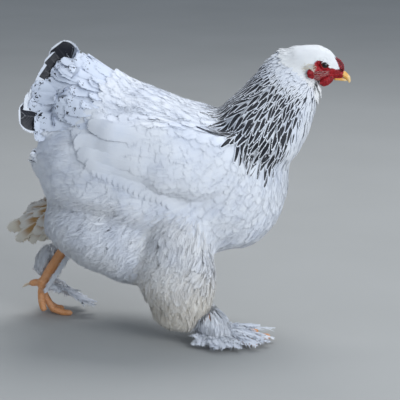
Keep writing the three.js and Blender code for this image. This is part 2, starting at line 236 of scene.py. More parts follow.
def trimTail(bm):
    # the flesh ends inside the tail: the thin fanned feathers beyond it belong to the coat
    geometry = bm.verts[:] + bm.edges[:] + bm.faces[:]
    cut = bmesh.ops.bisect_plane(bm, geom=geometry, dist=1e-6, plane_co=spot(*skinPlan["tailEnd"]),
                                 plane_no=skinPlan["endFacing"], clear_outer=True)
    rim = [edge for edge in cut["geom_cut"] if isinstance(edge, bmesh.types.BMEdge)]
    filled = bmesh.ops.triangle_fill(bm, edges=rim, use_beauty=True)["geom"]
    faces = [face for face in filled if isinstance(face, bmesh.types.BMFace)]
    inner = dict.fromkeys(edge for face in faces for edge in face.edges if not edge.is_boundary)
    inner = [edge for edge in inner if edge not in rim]
    bmesh.ops.subdivide_edges(bm, edges=inner, cuts=3, use_grid_fill=True)


bodyMesh = castSolid(skinPlan["bodyNodes"], skinPlan["bodyVoxel"], skinPlan["softenBody"])
headMesh = castSolid(skinPlan["headNodes"], skinPlan["headVoxel"], skinPlan["softenHead"])
report(f"cast {len(bodyMesh.polygons)} faces of body and {len(headMesh.polygons)} of head")
bm = cutAtNeck(bodyMesh, False)
trimTail(bm)
headPart = cutAtNeck(headMesh, True)
headPart.to_mesh(headMesh)
headPart.free()
bm.from_mesh(headMesh)
bmesh.ops.bridge_loops(bm, edges=[edge for edge in bm.edges if edge.is_boundary])
bmesh.ops.triangulate(bm, faces=[face for face in bm.faces if len(face.verts) > 4])
bmesh.ops.recalc_face_normals(bm, faces=bm.faces)
skinMesh = bpy.data.meshes.new("skin")
bm.to_mesh(skinMesh)
bm.free()
report(f"skin cast with {len(skinMesh.polygons)} faces")

regionNodes = {
    "head": ["head", "eye_left", "eye_right"], "neck": ["neck"], "trunk": ["trunk"], "tail": ["tail"],
    "wing": ["wing_left", "wing_right"], "thigh": ["thigh_left", "thigh_right"], "comb": ["comb"],
    "wattle": ["wattle_left", "wattle_right"], "ear_lobe": ["ear_lobe_left", "ear_lobe_right"],
    "beak": ["beak_upper", "beak_lower"],
}


def regionDistances(points):
    found = {}
    for region, nodes in regionNodes.items():
        found[region] = np.min([distancesTo(treeOf(node), points, 0.06) for node in nodes], axis=0)
    return found


points = pointsOf(skinMesh)
normals = normalsOf(skinMesh)
near = regionDistances(points)


def nearAny(*names):
    return np.min([near[name] for name in names], axis=0)


pull = {}
for name, distance in near.items():
    blend = skinPlan["depthBlend"].get(name, skinPlan["plainBlend"])
    pull[name] = 1 / (distance + blend * mm) ** 3
    if name in skinPlan["depthBlend"]:
        pull[name] *= skinPlan["blendWeight"]
depth = sum(pull[name] * skinPlan["coatDepth"][name] * mm for name in pull) / sum(pull.values())
fleshy = smoothStep(1.6 * mm, 0.5 * mm, nearAny("comb", "wattle", "ear_lobe"))
points = points - normals * depth[:, None]
fromEye = np.minimum(*(np.linalg.norm(points - eye, axis=1) for eye in eyes.values()))
covered = smoothStep(1 * mm, 9 * mm, nearAny("comb", "wattle", "ear_lobe"))
covered = covered * smoothStep(15 * mm, 19 * mm, fromEye)
onHead = smoothStep(-2 * mm, 6 * mm, (points - joinPlace) @ neckWay)  # there the mesh is finer
points = relaxed(skinMesh, points, covered, 10)
points = relaxed(skinMesh, points, covered * onHead * smoothStep(0, 5 * mm, near["beak"]), 60)
onTrunk = smoothStep(12 * mm, 2 * mm, nearAny("trunk", "wing", "thigh"))
points += normals * (onTrunk * skinPlan["swell"] * wobble(points, skinPlan["swellSize"], 2.0))[:, None]
report("skin set inside the coat")

# the bare face: its place is counted from the eye, backwards and forwards, up and down
faceForms = {  # (ahead of the eye, above the eye, half length, half height) in mm
    "aroundEye": (-1.5, -3.0, 14.0, 12.0),
    "lore": (17.0, -12.5, 19.0, 9.0),
    "jaw": (2.0, -20.0, 17.0, 9.0),
    "behindJaw": (-14.0, -18.0, 9.0, 9.0),
}


def bareness(places):
    # how bare of feathers each place is, from 0 to 1
    ahead = (places[:, 0] - eyes["left"][0]) / mm
    above = (places[:, 2] - eyes["left"][2]) / mm
    aside = np.abs(places[:, 1] - middleY) / mm
    bare = np.zeros(len(places))
    for x, z, length, height in faceForms.values():
        reach = np.hypot((ahead - x) / length, (above - z) / height)
        bare = np.maximum(bare, smoothStep(1.12, 0.92, reach))
    crownEdge = np.clip(6 - 0.8 * ahead, -7, 10)  # white feathers come down in front of the eye
    bare = bare * smoothStep(crownEdge + 1.5, crownEdge - 1.0, above)
    bare = bare * smoothStep(3.0, 6.0, aside + np.maximum(ahead, 0) * 0.3)
    return bare


bare = np.maximum(bareness(points) * (near["neck"] > 4 * mm), fleshy)

lids = {
    "facing": (0.16, 1, 0.06), "halfLength": 5.6 * mm, "halfHeight": 4.2 * mm,
    "tilt": 18,  # degrees, up at the back
    "thickness": 0.7 * mm, "sunk": 2.6 * mm,  # of the rim, and of the skin under the eyeball's surface
    "fadeFrom": 1.35, "fadeTo": 2.5,  # times the opening's size
}


def shapeLids(points, centre, sign):
    # the skin round one eye: an oval opening with a raised rim, over a ball that the eye fills
    out = unit(np.array(lids["facing"]) * (1, sign, 1))
    ahead = unit(np.array((1, 0, 0)) - out * out[0])
    up = np.cross(out, ahead)
    up = up if up[2] > 0 else -up
    turn = math.radians(-lids["tilt"])
    along = ahead * math.cos(turn) + up * math.sin(turn)
    over = -ahead * math.sin(turn) + up * math.cos(turn)
    offset = points - centre
    height = offset @ out
    close = (np.linalg.norm(offset, axis=1) < 16 * mm) & (height > 0)
    u, v = offset @ along / lids["halfLength"], offset @ over / lids["halfHeight"]
    reach = np.hypot(u, v)
    flat = np.sqrt(np.maximum(0, np.sum(offset ** 2, axis=1) - height ** 2))
    ball = np.sqrt(np.maximum((0.35 * eyeRadius) ** 2, eyeRadius ** 2 - flat ** 2))
    margin = lids["thickness"] * (1 + 0.35 * np.sin(reach * 9.0))
    lid = ball + mix(-lids["sunk"], margin, smoothStep(0.84, 1.1, reach))
    target = mix(lid, height, smoothStep(lids["fadeFrom"], lids["fadeTo"], reach))
    target = np.where(reach < lids["fadeFrom"], lid, target)
    points[close] += ((target - height)[:, None] * out)[close]


for side, centre in eyes.items():
    shapeLids(points, centre, sideSign[side])

foldPlan = {
    "slant": ((0.8, 0, 0.45), (0, 1, 0), (-0.5, 0, 1.1)),  # folds run down and back
    "wrinkle": 3.4 * mm, "finer": 1.5 * mm, "grain": 0.8 * mm,
    "combRow": 3.7 * mm, "pea": 3.3 * mm,
    "nostril": (23.0, 0, -8.1),  # from the eye, in mm
    "slitLength": 4.6 * mm, "slitWidth": 1.5 * mm, "slitDepth": 1.6,  # the depth is in mm
}
face = (bare > 0.02) & (near["head"] < 12 * mm) | (fleshy > 0)
facePoints = points[face]
slanted = facePoints @ np.array(foldPlan["slant"])
wrinkle = 1 - np.abs(wobble(slanted, foldPlan["wrinkle"], 3.0)) * 3.0
finer = 1 - np.abs(wobble(slanted, foldPlan["finer"], 7.0)) * 2.6
grain = wobble(facePoints, foldPlan["grain"], 9.0)
folds = 0.42 * wrinkle + 0.22 * finer + 0.10 * grain
combTop, combFoot = spot("comb", 0, 0.5, 1), spot("comb", 1, 0.5, 0)
downComb = (facePoints - combTop) @ unit(combFoot - combTop)
combRows = np.abs(np.cos(math.pi * (facePoints[:, 1] - middleY) / foldPlan["combRow"]))
peas = (0.25 + 0.75 * np.abs(np.sin(math.pi * downComb / foldPlan["pea"]))) * (0.3 + 0.7 * combRows)
onComb = smoothStep(1.8 * mm, 0.6 * mm, near["comb"][face])
relief = np.where(onComb > 0, mix(folds, 1.3 * peas - 0.8, onComb), folds)
fromNostril = facePoints - eyes["left"] - np.array(foldPlan["nostril"]) * mm
nostril = smoothStep(1.2, 0.7, np.hypot(fromNostril @ (0.78, 0, -0.62) / foldPlan["slitLength"],
                                       fromNostril @ (0.62, 0, 0.78) / foldPlan["slitWidth"]))
relief = relief - foldPlan["slitDepth"] * nostril
points[face] += normals[face] * (bare[face] * relief * mm)[:, None]
# where the face's relief sinks into folds, wrinkles and nostril slits: the skin finish paints shade there
hollowShade = np.zeros(len(points))
hollowShade[face] = smoothStep(0.12, -0.35, relief)
movePoints(skinMesh, points)
normals = normalsOf(skinMesh)
report("face shaped")

# ---- legs: scaled skin on the shanks and toes, part of the same piece

scales = {"pitch": 3.4 * mm, "depth": 0.45 * mm, "finest": 1.6 * mm, "heel": {"left": 0.3, "right": 0.33}}
legMesh = castSolid(skinPlan["legNodes"], skinPlan["legVoxel"], skinPlan["softenLegs"], islands=2)
legPoints = pointsOf(legMesh)
legNormals = normalsOf(legMesh)
topward = np.clip(legNormals[:, 2] * 0.5 + legNormals[:, 0] * 0.6 + 0.5, 0, 1)
travel = np.zeros(len(legPoints))
for side in ("left", "right"):
    heel = spot("foot_" + side, scales["heel"][side], 0.45, 0.6)
    own = np.sign(legPoints[:, 1] - middleY) == sideSign[side]
    travel[own] = np.linalg.norm(legPoints[own] - heel, axis=1)
scute = np.abs(np.sin(math.pi * travel / scales["pitch"]))
rough = wobble(legPoints, scales["finest"], 5.0)
lift = scales["depth"] * (topward * (scute ** 0.6 - 0.5) + (1 - topward) * 0.5 * rough)
flatSole = smoothStep(0.6 * mm, 2.0 * mm, legPoints[:, 2])
legPoints += legNormals * (lift * flatSole)[:, None]
legPoints[:, 2] = np.maximum(legPoints[:, 2], 0)
movePoints(legMesh, legPoints)

bm = bmesh.new()
bm.from_mesh(skinMesh)
bodyFaces = len(bm.faces)
bm.from_mesh(legMesh)
bm.to_mesh(skinMesh)
bm.free()


def onSkin(values):
    # a value known for the body's points, for all points of the skin
    return np.concatenate([values, np.zeros(len(legPoints))])


tailward = smoothStep(spot("tail", 0.3, 0, 0)[0], spot("tail", 0.12, 0, 0)[0], points[:, 0])
skinMarks = {
    "bare": bare, "hollowShade": hollowShade, "comb": smoothStep(3 * mm, 0, near["comb"]),
    "striped": smoothStep(3 * mm, 0, near["neck"]) * smoothStep(4 * mm, 25 * mm, near["head"]),
    "tailDark": smoothStep(3 * mm, 0, near["tail"]) * tailward,
}
materialIndex = np.zeros(len(skinMesh.polygons), dtype=np.int32)
materialIndex[bodyFaces:] = 1
skinMesh.polygons.foreach_set("material_index", materialIndex)
skinMesh.polygons.foreach_set("use_smooth", np.ones(len(skinMesh.polygons), dtype=bool))
for name, values in skinMarks.items():
    setAttribute(skinMesh, name, onSkin(values))
setAttribute(skinMesh, "scute", np.concatenate([np.zeros(len(points)), scute]))
report(f"legs joined, {len(skinMesh.polygons)} faces of skin")

# ---- an unwrap of the skin: the coat's colour patches lie at their roots' places on it

skin = addPiece("skin", skinMesh, [*skinPlan["bodyNodes"], *fleshNodes, *skinPlan["legNodes"]])
bpy.context.view_layer.objects.active = skin
skin.select_set(True)
skinMesh.uv_layers.new(name="OFBake")
bpy.ops.object.mode_set(mode="EDIT")
bpy.ops.mesh.select_all(action="SELECT")
bpy.ops.uv.smart_project(angle_limit=math.radians(75), island_margin=0.002)
bpy.ops.object.mode_set(mode="OBJECT")
skin.select_set(False)
report("skin unwrapped")


def readCarrier(mesh, faceCount):
    # a surface that feathers grow from: its triangles, their corners' unwrap, and a tree to walk over it
    mesh.calc_loop_triangles()
    count = len(mesh.loop_triangles)
    corners = np.empty(count * 3, dtype=np.int64)
    loops = np.empty(count * 3, dtype=np.int64)
    owners = np.empty(count, dtype=np.int64)
    mesh.loop_triangles.foreach_get("vertices", corners)
    mesh.loop_triangles.foreach_get("loops", loops)
    mesh.loop_triangles.foreach_get("polygon_index", owners)
    keep = owners < faceCount
    corners, loops = corners.reshape(-1, 3)[keep], loops.reshape(-1, 3)[keep]
    places = pointsOf(mesh)
    carrier = {"places": places, "normals": normalsOf(mesh), "corners": corners}
    if mesh.uv_layers:
        flat = np.empty(len(mesh.loops) * 2, dtype=np.float32)
        mesh.uv_layers["OFBake"].data.foreach_get("uv", flat)
        carrier["unwrap"] = flat.reshape(-1, 2)[loops]
    carrier["tree"] = BVHTree.FromPolygons(places.tolist(), corners.tolist())
    return carrier


def bedding(node, voxel, soften, grow, inset):
    # the surface under feathers that stand clear of the flesh, inside their own solid
    mesh = castSolid([node], voxel, soften, grow)
    movePoints(mesh, pointsOf(mesh) - normalsOf(mesh) * inset)
    return readCarrier(mesh, len(mesh.polygons))


bodyCarrier = readCarrier(skinMesh, bodyFaces)
report("surfaces ready for feathers")


def nearestOn(carrier, places):
    # the surface's nearest place to each one given, and the way it faces there
    found = [carrier["tree"].find_nearest(place) for place in places.tolist()]
    return tuple(np.array([list(item[n]) for item in found]) for n in (0, 1))


def unwrapNear(places):
    # where the skin nearest to each place lies on the unwrap
    found = [bodyCarrier["tree"].find_nearest(place)[2] for place in places.tolist()]
    return bodyCarrier["unwrap"][found].mean(axis=1)


def chooseRoots(carrier, density, spacing, seed, guides=None, stretch=1.0):
    # roots over the surface where density is over a half, at least `spacing` apart, and `stretch` times that
    # along the lie of the coat; density has a value for each point of the surface
    rng = np.random.default_rng(seed)
    corners = carrier["corners"]
    a, b, c = (carrier["places"][corners[:, n]] for n in range(3))
    areas = np.linalg.norm(np.cross(b - a, c - a), axis=1) / 2
    gaps = np.broadcast_to(spacing, len(carrier["places"]))
    gapHere = gaps[corners].mean(axis=1)
    wanted = areas / gapHere ** 2 * (density[corners].mean(axis=1) > 0.5)
    number = int(wanted.sum() * 5)  # five places are tried for each root
    chosen = rng.choice(len(areas), size=number, p=wanted / wanted.sum())
    u, v = rng.random(number), rng.random(number)
    over = u + v > 1
    u[over], v[over] = 1 - u[over], 1 - v[over]
    shares = np.stack([1 - u - v, u, v], axis=1)
    places = np.einsum("nk,nkd->nd", shares, carrier["places"][corners[chosen]])
    gapAt = np.einsum("nk,nk->n", shares, gaps[corners[chosen]])
    outward = unit(np.einsum("nk,nkd->nd", shares, carrier["normals"][corners[chosen]]))
    lie = lieAt(places, outward, guides) if stretch > 1 else outward
    tree = KDTree(number)
    for n, place in enumerate(places.tolist()):
        tree.insert(place, n)
    tree.balance()
    free = np.ones(number, dtype=bool)
    kept = []
    for n in range(number):
        if free[n]:
            kept.append(n)
            close = [other for _, other, _ in tree.find_range(places[n].tolist(), gapAt[n] * stretch)]
            apart = places[close] - places[n]
            along = apart @ lie[n] * (1 - 1 / stretch)
            free[np.array(close)[np.linalg.norm(apart - along[:, None] * lie[n], axis=1) <= gapAt[n]]] = False
    kept = np.array(kept)
    return {
        "rng": rng, "carrier": carrier, "place": places[kept],
        "triangle": chosen[kept], "shares": shares[kept],
        "normal": outward[kept],
        "unwrap": (np.einsum("nk,nkd->nd", shares[kept], carrier["unwrap"][chosen[kept]])
                   if "unwrap" in carrier else unwrapNear(places[kept])),
    }


def atRoots(roots, values):
    # what a value for each point of the surface is at the roots
    corners = roots["carrier"]["corners"][roots["triangle"]]
    return np.einsum("nk,nk->n", roots["shares"], values[corners])


# ---- the lie of the coat: lines that the feathers follow; those of the body are drawn on her right side and mirrored, those of the thighs on each thigh

lieLines = [
    [("head", 1.0, 0.5, 0.5), ("head", 0.8, 0.5, 0.85), ("head", 0.5, 0.5, 1.0), ("head", 0.0, 0.5, 0.75),
     ("neck", 0.43, 0.5, 0.87), ("neck", 0.16, 0.5, 0.63), ("trunk", 0.64, 0.5, 0.92),
     ("trunk", 0.53, 0.5, 0.96), ("trunk", 0.42, 0.5, 1.0), ("tail", 0.69, 0.5, 0.75),
     ("tail", 0.35, 0.5, 0.95)],  # crown to tail
    [("head", 0.95, 0.2, 0.35), ("head", 0.5, 0.05, 0.45), ("head", 0.1, 0.1, 0.3), ("neck", 0.59, 0.1, 0.6),
     ("neck", 0.4, 0.03, 0.3), ("neck", 0.22, 0.0, 0.05), ("trunk", 0.7, 0.06, 0.5)],  # cheek to shoulder
    [("head", 0.75, 0.5, 0.0), ("neck", 0.98, 0.5, 0.6), ("neck", 0.91, 0.5, 0.4), ("neck", 0.83, 0.5, 0.15),
     ("trunk", 1.0, 0.5, 0.52), ("trunk", 0.95, 0.5, 0.32), ("trunk", 0.84, 0.5, 0.18),
     ("trunk", 0.65, 0.5, 0.1), ("trunk", 0.44, 0.5, 0.03)],  # throat, breast and belly
    [("neck", 0.75, 0.15, 0.4), ("neck", 0.66, 0.12, 0.1), ("trunk", 0.93, 0.25, 0.5),
     ("trunk", 0.86, 0.12, 0.38), ("trunk", 0.74, 0.06, 0.26),
     ("trunk", 0.58, 0.08, 0.15)],  # side of the breast
    [("tail", 0.1, 0.5, 0.1), ("trunk", 0.03, 0.5, 0.62), ("trunk", 0.06, 0.5, 0.4),
     ("trunk", 0.16, 0.5, 0.12)],  # under the tail
    [("trunk", 0.56, 0.02, 0.42), ("trunk", 0.42, 0.02, 0.3), ("trunk", 0.3, 0.08, 0.14)],  # flank
    [("trunk", 0.3, 0.05, 0.6), ("trunk", 0.14, 0.1, 0.55), ("trunk", 0.04, 0.25, 0.42)],  # rump
    [("trunk", 0.64, 0.25, 0.88), ("trunk", 0.5, 0.2, 0.89), ("trunk", 0.38, 0.2, 0.87),
     ("tail", 0.6, 0.15, 0.35), ("tail", 0.1, 0.05, 0.5)],  # saddle
    [("wing_right", 1.0, 0.4, 0.9), ("wing_right", 0.8, 0.2, 0.62), ("wing_right", 0.5, 0.1, 0.5),
     ("wing_right", 0.05, 0.3, 0.6)],  # along the wing
    [("wing_right", 0.9, 0.4, 0.5), ("wing_right", 0.75, 0.2, 0.25), ("wing_right", 0.6, 0.2, 0.1),
     ("wing_right", 0.3, 0.3, 0.3)],  # its lower edge
]
legLines = [
    [("thigh_right", 0.45, 0.0, 1.0), ("thigh_right", 0.42, 0.1, 0.5), ("thigh_right", 0.55, 0.3, 0.05)],
    [("thigh_right", 0.95, 0.5, 0.9), ("thigh_right", 0.85, 0.5, 0.5), ("thigh_right", 0.75, 0.5, 0.1)],
    [("thigh_left", 0.6, 1.0, 1.0), ("thigh_left", 0.4, 0.9, 0.5), ("thigh_left", 0.15, 0.6, 0.1)],
]


def drawGuides(lines, mirrored):
    places, headings = [], []
    for line in lines:
        knots = np.array([spot(*knot) for knot in line])
        for flip in ((1, -1) if mirrored else (1,)):
            side = knots.copy()
            side[:, 1] = middleY + (side[:, 1] - middleY) * flip
            places.append((side[1:] + side[:-1]) / 2)
            headings.append(unit(side[1:] - side[:-1]))
    return np.concatenate(places), np.concatenate(headings)


bodyGuides = [np.concatenate(pair) for pair in zip(drawGuides(lieLines, True), drawGuides(legLines, False))]


def lieAt(places, normals, guides, reach=10 * mm):
    # the way the coat lies: the nearest guides' headings, laid flat on the surface
    away = np.sum((places[:, None, :] - guides[0][None]) ** 2, axis=2)
    pull = 1 / (away + reach ** 2) ** 1.6
    heading = (pull[:, :, None] * guides[1][None]).sum(axis=1) / pull.sum(axis=1)[:, None]
    flat = heading - normals * np.sum(heading * normals, axis=1)[:, None]
    return unit(flat)


def turned(vectors, axes, angles):
    sine, cosine = np.sin(angles)[:, None], np.cos(angles)[:, None]
    return vectors * cosine + np.cross(axes, vectors) * sine


# ---- feathers: a shaft walked over the surface, and a flat pattern of core and free barbs hung on it

def cutPattern(rows, core, barbs, sweep):
    # the flat pattern: how far along and across each corner lies, where its width is taken, how loose it is,
    # its barb's number, and faces
    along, across, widthAt, loose, barbOf, faces = [], [], [], [], [], []

    def closer(share):
        return 1 - (1 - min(share, 1.0)) ** 1.5  # rows lie closer towards the round tip

    for row in range(rows + 1):
        for side in (-core, 0, core):
            along.append(closer(row / rows))
            across.append(side)
            widthAt.append(along[-1])
            loose.append(0)
            barbOf.append(0)
    for row in range(rows):
        for side in (0, 1):
            a = row * 3 + side
            faces += [(a, a + 4, a + 1), (a, a + 3, a + 4)]
    number = rows * barbs
    for side in (-1, 1):
        for barb in range(number):
            start = len(along)
            foot, tip = closer(barb / number), closer((barb + 1.7) / number)
            along += [foot, tip, min(foot + sweep * (1 - foot * 0.6), mix(foot, 1, 0.7))]
            widthAt += [foot, tip, foot]
            across += [side * core * 0.96, side * core * 0.96, side]
            loose += [0, 0, 1]
            barbOf += [start] * 3
            faces.append((start, start + 2, start + 1) if side < 0 else (start, start + 1, start + 2))
    return packPattern(rows, along, across, widthAt, loose, barbOf, faces)


def cutStrands(rows, strands, width):
    # a tuft of hair-like strands that spread from one root
    along, across, loose, barbOf, faces = [], [], [], [], []
    for strand in range(strands):
        aim = 0.9 * (2 * (strand + 0.5) / strands - 1)
        for row in range(rows + 1):
            share = row / rows
            half = width * (1 - 0.85 * share ** 2)
            along += [share, share]
            across += [aim * share ** 0.7 - half, aim * share ** 0.7 + half]
            loose += [share, share]
            barbOf += [strand, strand]
            if row < rows:
                a = len(along) - 2
                faces += [(a, a + 3, a + 1), (a, a + 2, a + 3)]
    return packPattern(rows, along, across, along, loose, barbOf, faces)


def packPattern(rows, along, across, widthAt, loose, barbOf, faces):
    return {
        "rows": rows, "faces": np.array(faces), "along": np.array(along), "widthAt": np.array(widthAt),
        "across": np.array(across, dtype=float), "loose": np.array(loose, dtype=float),
        "barbOf": np.unique(barbOf, return_inverse=True)[1],
    }


def outlineAt(along, base, shoulder, roundness):
    # a vane's half width: it opens from its base to its shoulder, then closes to a round or pointed tip
    opening = mix(base, 1, smoothStep(0, shoulder, along))
    closing = np.clip((along - shoulder) / (1 - shoulder), 0, 1)
    return np.maximum(opening * (1 - closing ** roundness) ** (1 / roundness), 0.05)


def walkShafts(roots, plan, guides):
    # each shaft leaves the surface at its root and rises to its lift at the tip, over humps and hollows
    carrier, rng, rows = roots["carrier"], roots["rng"], plan["pattern"]["rows"]
    place = roots["place"] + roots["normal"] * plan.get("sink", 0.3) * mm
    normal = roots["normal"]
    stray = np.radians(plan["stray"]) * rng.standard_normal(len(place))
    bend = np.radians(plan.get("bend", 3)) * rng.standard_normal(len(place))
    heading = turned(lieAt(place, normal, guides), normal, stray)
    shafts, ups = [place], [normal]
    for row in range(1, rows + 1):
        step = place + heading * (roots["length"] / rows)[:, None]
        nearest, outward = nearestOn(carrier, step)
        height = np.sum((step - nearest) * outward, axis=1)
        apart = np.linalg.norm(step - nearest, axis=1)
        beyond = apart > np.abs(height) * 1.05 + 0.2 * mm  # off the surface's edge
        want = roots["lift"] * (row / rows) ** plan.get("rise", 0.8)
        settled = np.where(height > want, mix(height, want, plan["settle"]), want)
        moved = nearest + outward * settled[:, None]
        step = np.where(beyond[:, None], step, moved)
        up = unit(mix(ups[-1], outward, 0.6))
        way = unit(step - place)
        fresh = lieAt(step, up, guides)
        place = step
        shafts.append(place)
        ups.append(up)
        heading = turned(unit(mix(way, fresh, plan.get("steer", 0.35))), up, bend)
        heading = unit(heading - up * np.sum(heading * up, axis=1)[:, None] * 0.5)
    return np.stack(shafts, axis=1), np.stack(ups, axis=1)


def drapeShafts(lines, rows, lift, carrier):
    # shafts laid over a surface along given lines: each line is a few places that the shaft passes over
    shafts, ups = [], []
    for line in lines:
        line = np.array(line)
        steps = np.linspace(0, len(line) - 1, rows + 1)
        path = np.stack([np.interp(steps, np.arange(len(line)), line[:, axis]) for axis in range(3)], axis=1)
        places, facing = nearestOn(carrier, path)
        outward = unit(np.mean(facing, axis=0) * 0.6 + facing)
        rising = (np.arange(rows + 1) / rows) ** 0.6
        shafts.append(places + outward * (rising * lift)[:, None])
        ups.append(outward)
    return np.array(shafts), np.array(ups)


def handRoots(shafts, seed):
    # what hangVanes needs of feathers whose shafts are given rather than walked over the surface
    roots = {"rng": np.random.default_rng(seed), "place": shafts[:, 0]}
    roots["unwrap"] = unwrapNear(roots["place"])
    return roots


def bothSides(lines):
    # lines of spots on her right side, and the same mirrored to her left
    laid = []
    for line in lines:
        knots = np.array([spot(*knot) for knot in line])
        laid += [knots, knots * (1, -1, 1) + (0, 2 * middleY, 0)]
    return laid


patchSize = 0.003  # of one feather's colours on the unwrap


def hangVanes(shafts, ups, roots, plan):
    # lays the flat pattern along each shaft; returns corners, faces, patches on the unwrap, values and normals
    pattern, rng = plan["pattern"], roots["rng"]
    count, rows = len(shafts), pattern["rows"]
    loose, barbOf = pattern["loose"], pattern["barbOf"]

    def uneven(low, high):
        return loose * plan["ragged"] * rng.uniform(low, high, (count, barbOf.max() + 1))[:, barbOf]

    along = np.clip(pattern["along"] * (1 + uneven(-0.2, 0.12)), 0, 1)
    across = pattern["across"] + np.sign(pattern["across"]) * uneven(-0.7, 0.3)
    low = np.minimum((along * rows).astype(int), rows - 1)
    share = (along * rows - low)[..., None]
    which = np.arange(count)[:, None]
    centre = mix(shafts[which, low], shafts[which, low + 1], share)
    coatUp = unit(mix(ups[which, low], ups[which, low + 1], share))
    forward = unit(shafts[which, low + 1] - shafts[which, low])
    side = unit(np.cross(coatUp, forward))
    up = np.cross(forward, side)
    roll = np.radians(plan.get("roll", 2.5)) * rng.standard_normal(count)[:, None, None]
    side = side * np.cos(roll) + up * np.sin(roll)
    half = outlineAt(pattern["widthAt"], *plan["outline"]) * (roots["width"] / 2)[:, None]
    reach = (across * half)[..., None]
    cup = (np.abs(across) ** 1.7 * half * plan["cup"])[..., None]
    spread = uneven(-0.4, 1.0) * half * plan.get("spread", 0.35)
    corners = centre + side * reach - up * cup + up * spread[..., None]
    corners[..., 2] = np.maximum(corners[..., 2], 0.5 * mm)  # clear of the floor
    stacked = (pattern["faces"][None] + (np.arange(count) * len(loose))[:, None, None]).reshape(-1, 3)
    a, b, c = (corners.reshape(-1, 3)[stacked[:, n]] for n in range(3))
    turnedOver = (np.cross(b - a, c - a) * up.reshape(-1, 3)[stacked[:, 0]]).sum(axis=1) < 0
    stacked[turnedOver] = stacked[turnedOver, ::-1]
    patch = np.stack([along - 0.5, across * 0.5], axis=-1) * patchSize + roots["unwrap"][:, None, :]
    values = {"along": along, "across": across}
    for name in ("mark", "tone", "seed"):
        values[name] = np.repeat(roots[name][:, None], len(loose), axis=1)
    shading = None
    if "soft" in plan:  # neighbours shade alike, so a smooth coat looks soft
        own = unit(up + side * (np.sign(across) * np.abs(across) ** 0.7 * plan["cup"])[..., None])
        shading = unit(mix(own, coatUp, plan["soft"])).reshape(-1, 3)
    return corners.reshape(-1, 3), stacked, patch.reshape(-1, 2), values, shading


def makeCoat(name, parts, material, replaced=()):
    # one mesh of many feathers, from the results of hangVanes
    corners = np.concatenate([part[0] for part in parts])
    starts = np.cumsum([0] + [len(part[0]) for part in parts[:-1]])
    faces = np.concatenate([part[1] + start for part, start in zip(parts, starts)])
    patch = np.concatenate([part[2] for part in parts])
    mesh = bpy.data.meshes.new(name)
    mesh.vertices.add(len(corners))
    mesh.vertices.foreach_set("co", corners.reshape(-1))
    mesh.loops.add(faces.size)
    mesh.loops.foreach_set("vertex_index", faces.reshape(-1))
    mesh.polygons.add(len(faces))
    mesh.polygons.foreach_set("loop_start", np.arange(0, faces.size, 3))
    mesh.update(calc_edges=True)
    mesh.polygons.foreach_set("use_smooth", np.ones(len(faces), dtype=bool))
    layer = mesh.uv_layers.new(name="OFBake")
    layer.data.foreach_set("uv", patch[faces.reshape(-1)].reshape(-1))
    for value in parts[0][3]:
        setAttribute(mesh, value, np.concatenate([part[3][value].reshape(-1) for part in parts]))
    if all(part[4] is not None for part in parts):
        mesh.normals_split_custom_set_from_vertices(np.concatenate([part[4] for part in parts]).tolist())
    addPiece(name, mesh, replaced, [material])
    report(f"{name}: {len(faces)} triangles")


def setSizes(roots, length, width, lift, mark=0.0, tone=0.0):
    # sizes in mm for each feather, with a little of nature's unevenness
    count, rng = len(roots["place"]), roots["rng"]
    uneven = rng.uniform(0.88, 1.12, count)
    roots["length"] = np.broadcast_to(length, count) * uneven * mm
    roots["width"] = np.broadcast_to(width, count) * rng.uniform(0.9, 1.1, count) * mm
    roots["lift"] = np.broadcast_to(lift, count) * rng.uniform(0.92, 1.06, count) * mm
    roots["mark"] = np.broadcast_to(mark, count).astype(float)
    roots["tone"] = np.broadcast_to(tone, count).astype(float)
    roots["seed"] = rng.random(count)
    return roots


def growFeathers(roots, plan, guides=bodyGuides):
    shafts, ups = walkShafts(roots, plan, guides)
    return hangVanes(shafts, ups, roots, plan)


# ---- finishes

palette = {
    "white": (0.85, 0.87, 0.91), "cool": (0.63, 0.69, 0.83), "cream": (0.72, 0.60, 0.40),
    "purest": (0.95, 0.95, 0.94), "creamWhite": (0.80, 0.74, 0.62), "covertWhite": (0.72, 0.77, 0.87),
    "black": (0.010, 0.011, 0.018), "tan": (0.42, 0.24, 0.09), "downSkin": (0.70, 0.74, 0.82),
    # the darkest red is painted shade for the face's folds and hollows
    # the pink is the comb's own paler pink, and is also flecked over the face as painted highlight
    "bareRed": (0.36, 0.004, 0.008), "paintedShadeRed": (0.06, 0.002, 0.005), "combPinkAndHighlight": (0.62, 0.07, 0.10),
    "bristle": (0.46, 0.30, 0.28), "bristlePale": (0.56, 0.42, 0.40),
    "legOrange": (0.72, 0.30, 0.10), "legPale": (0.86, 0.50, 0.30), "legDark": (0.42, 0.17, 0.08),
    "beakYellow": (0.83, 0.40, 0.03), "beakPale": (0.86, 0.62, 0.30), "beakBrown": (0.36, 0.13, 0.03),
    "claw": (0.62, 0.47, 0.33), "clawTip": (0.78, 0.70, 0.58),
    "irisDark": (0.025, 0.004, 0.003), "irisRed": (0.13, 0.022, 0.008), "pupil": (0.003, 0.002, 0.002),
    "eyeRim": (0.05, 0.01, 0.008), "floorDark": (0.40, 0.40, 0.385), "floorPale": (0.46, 0.46, 0.445),
}


def addNode(tree, kind, inputs=None, **settings):
    made = tree.nodes.new(kind)
    for key, value in settings.items():
        setattr(made, key, value)
    for key, value in (inputs or {}).items():
        if isinstance(value, bpy.types.NodeSocket):
            tree.links.new(value, made.inputs[key])
        else:
            made.inputs[key].default_value = value
    return made


def calc(tree, operation, a, b=0.0, c=0.0):
    return addNode(tree, "ShaderNodeMath", {0: a, 1: b, 2: c}, operation=operation).outputs[0]


def blendColours(tree, share, a, b):
    a, b = ((*colour, 1.0) if isinstance(colour, tuple) else colour for colour in (a, b))
    return addNode(tree, "ShaderNodeMix", {0: share, 6: a, 7: b}, data_type="RGBA").outputs[2]


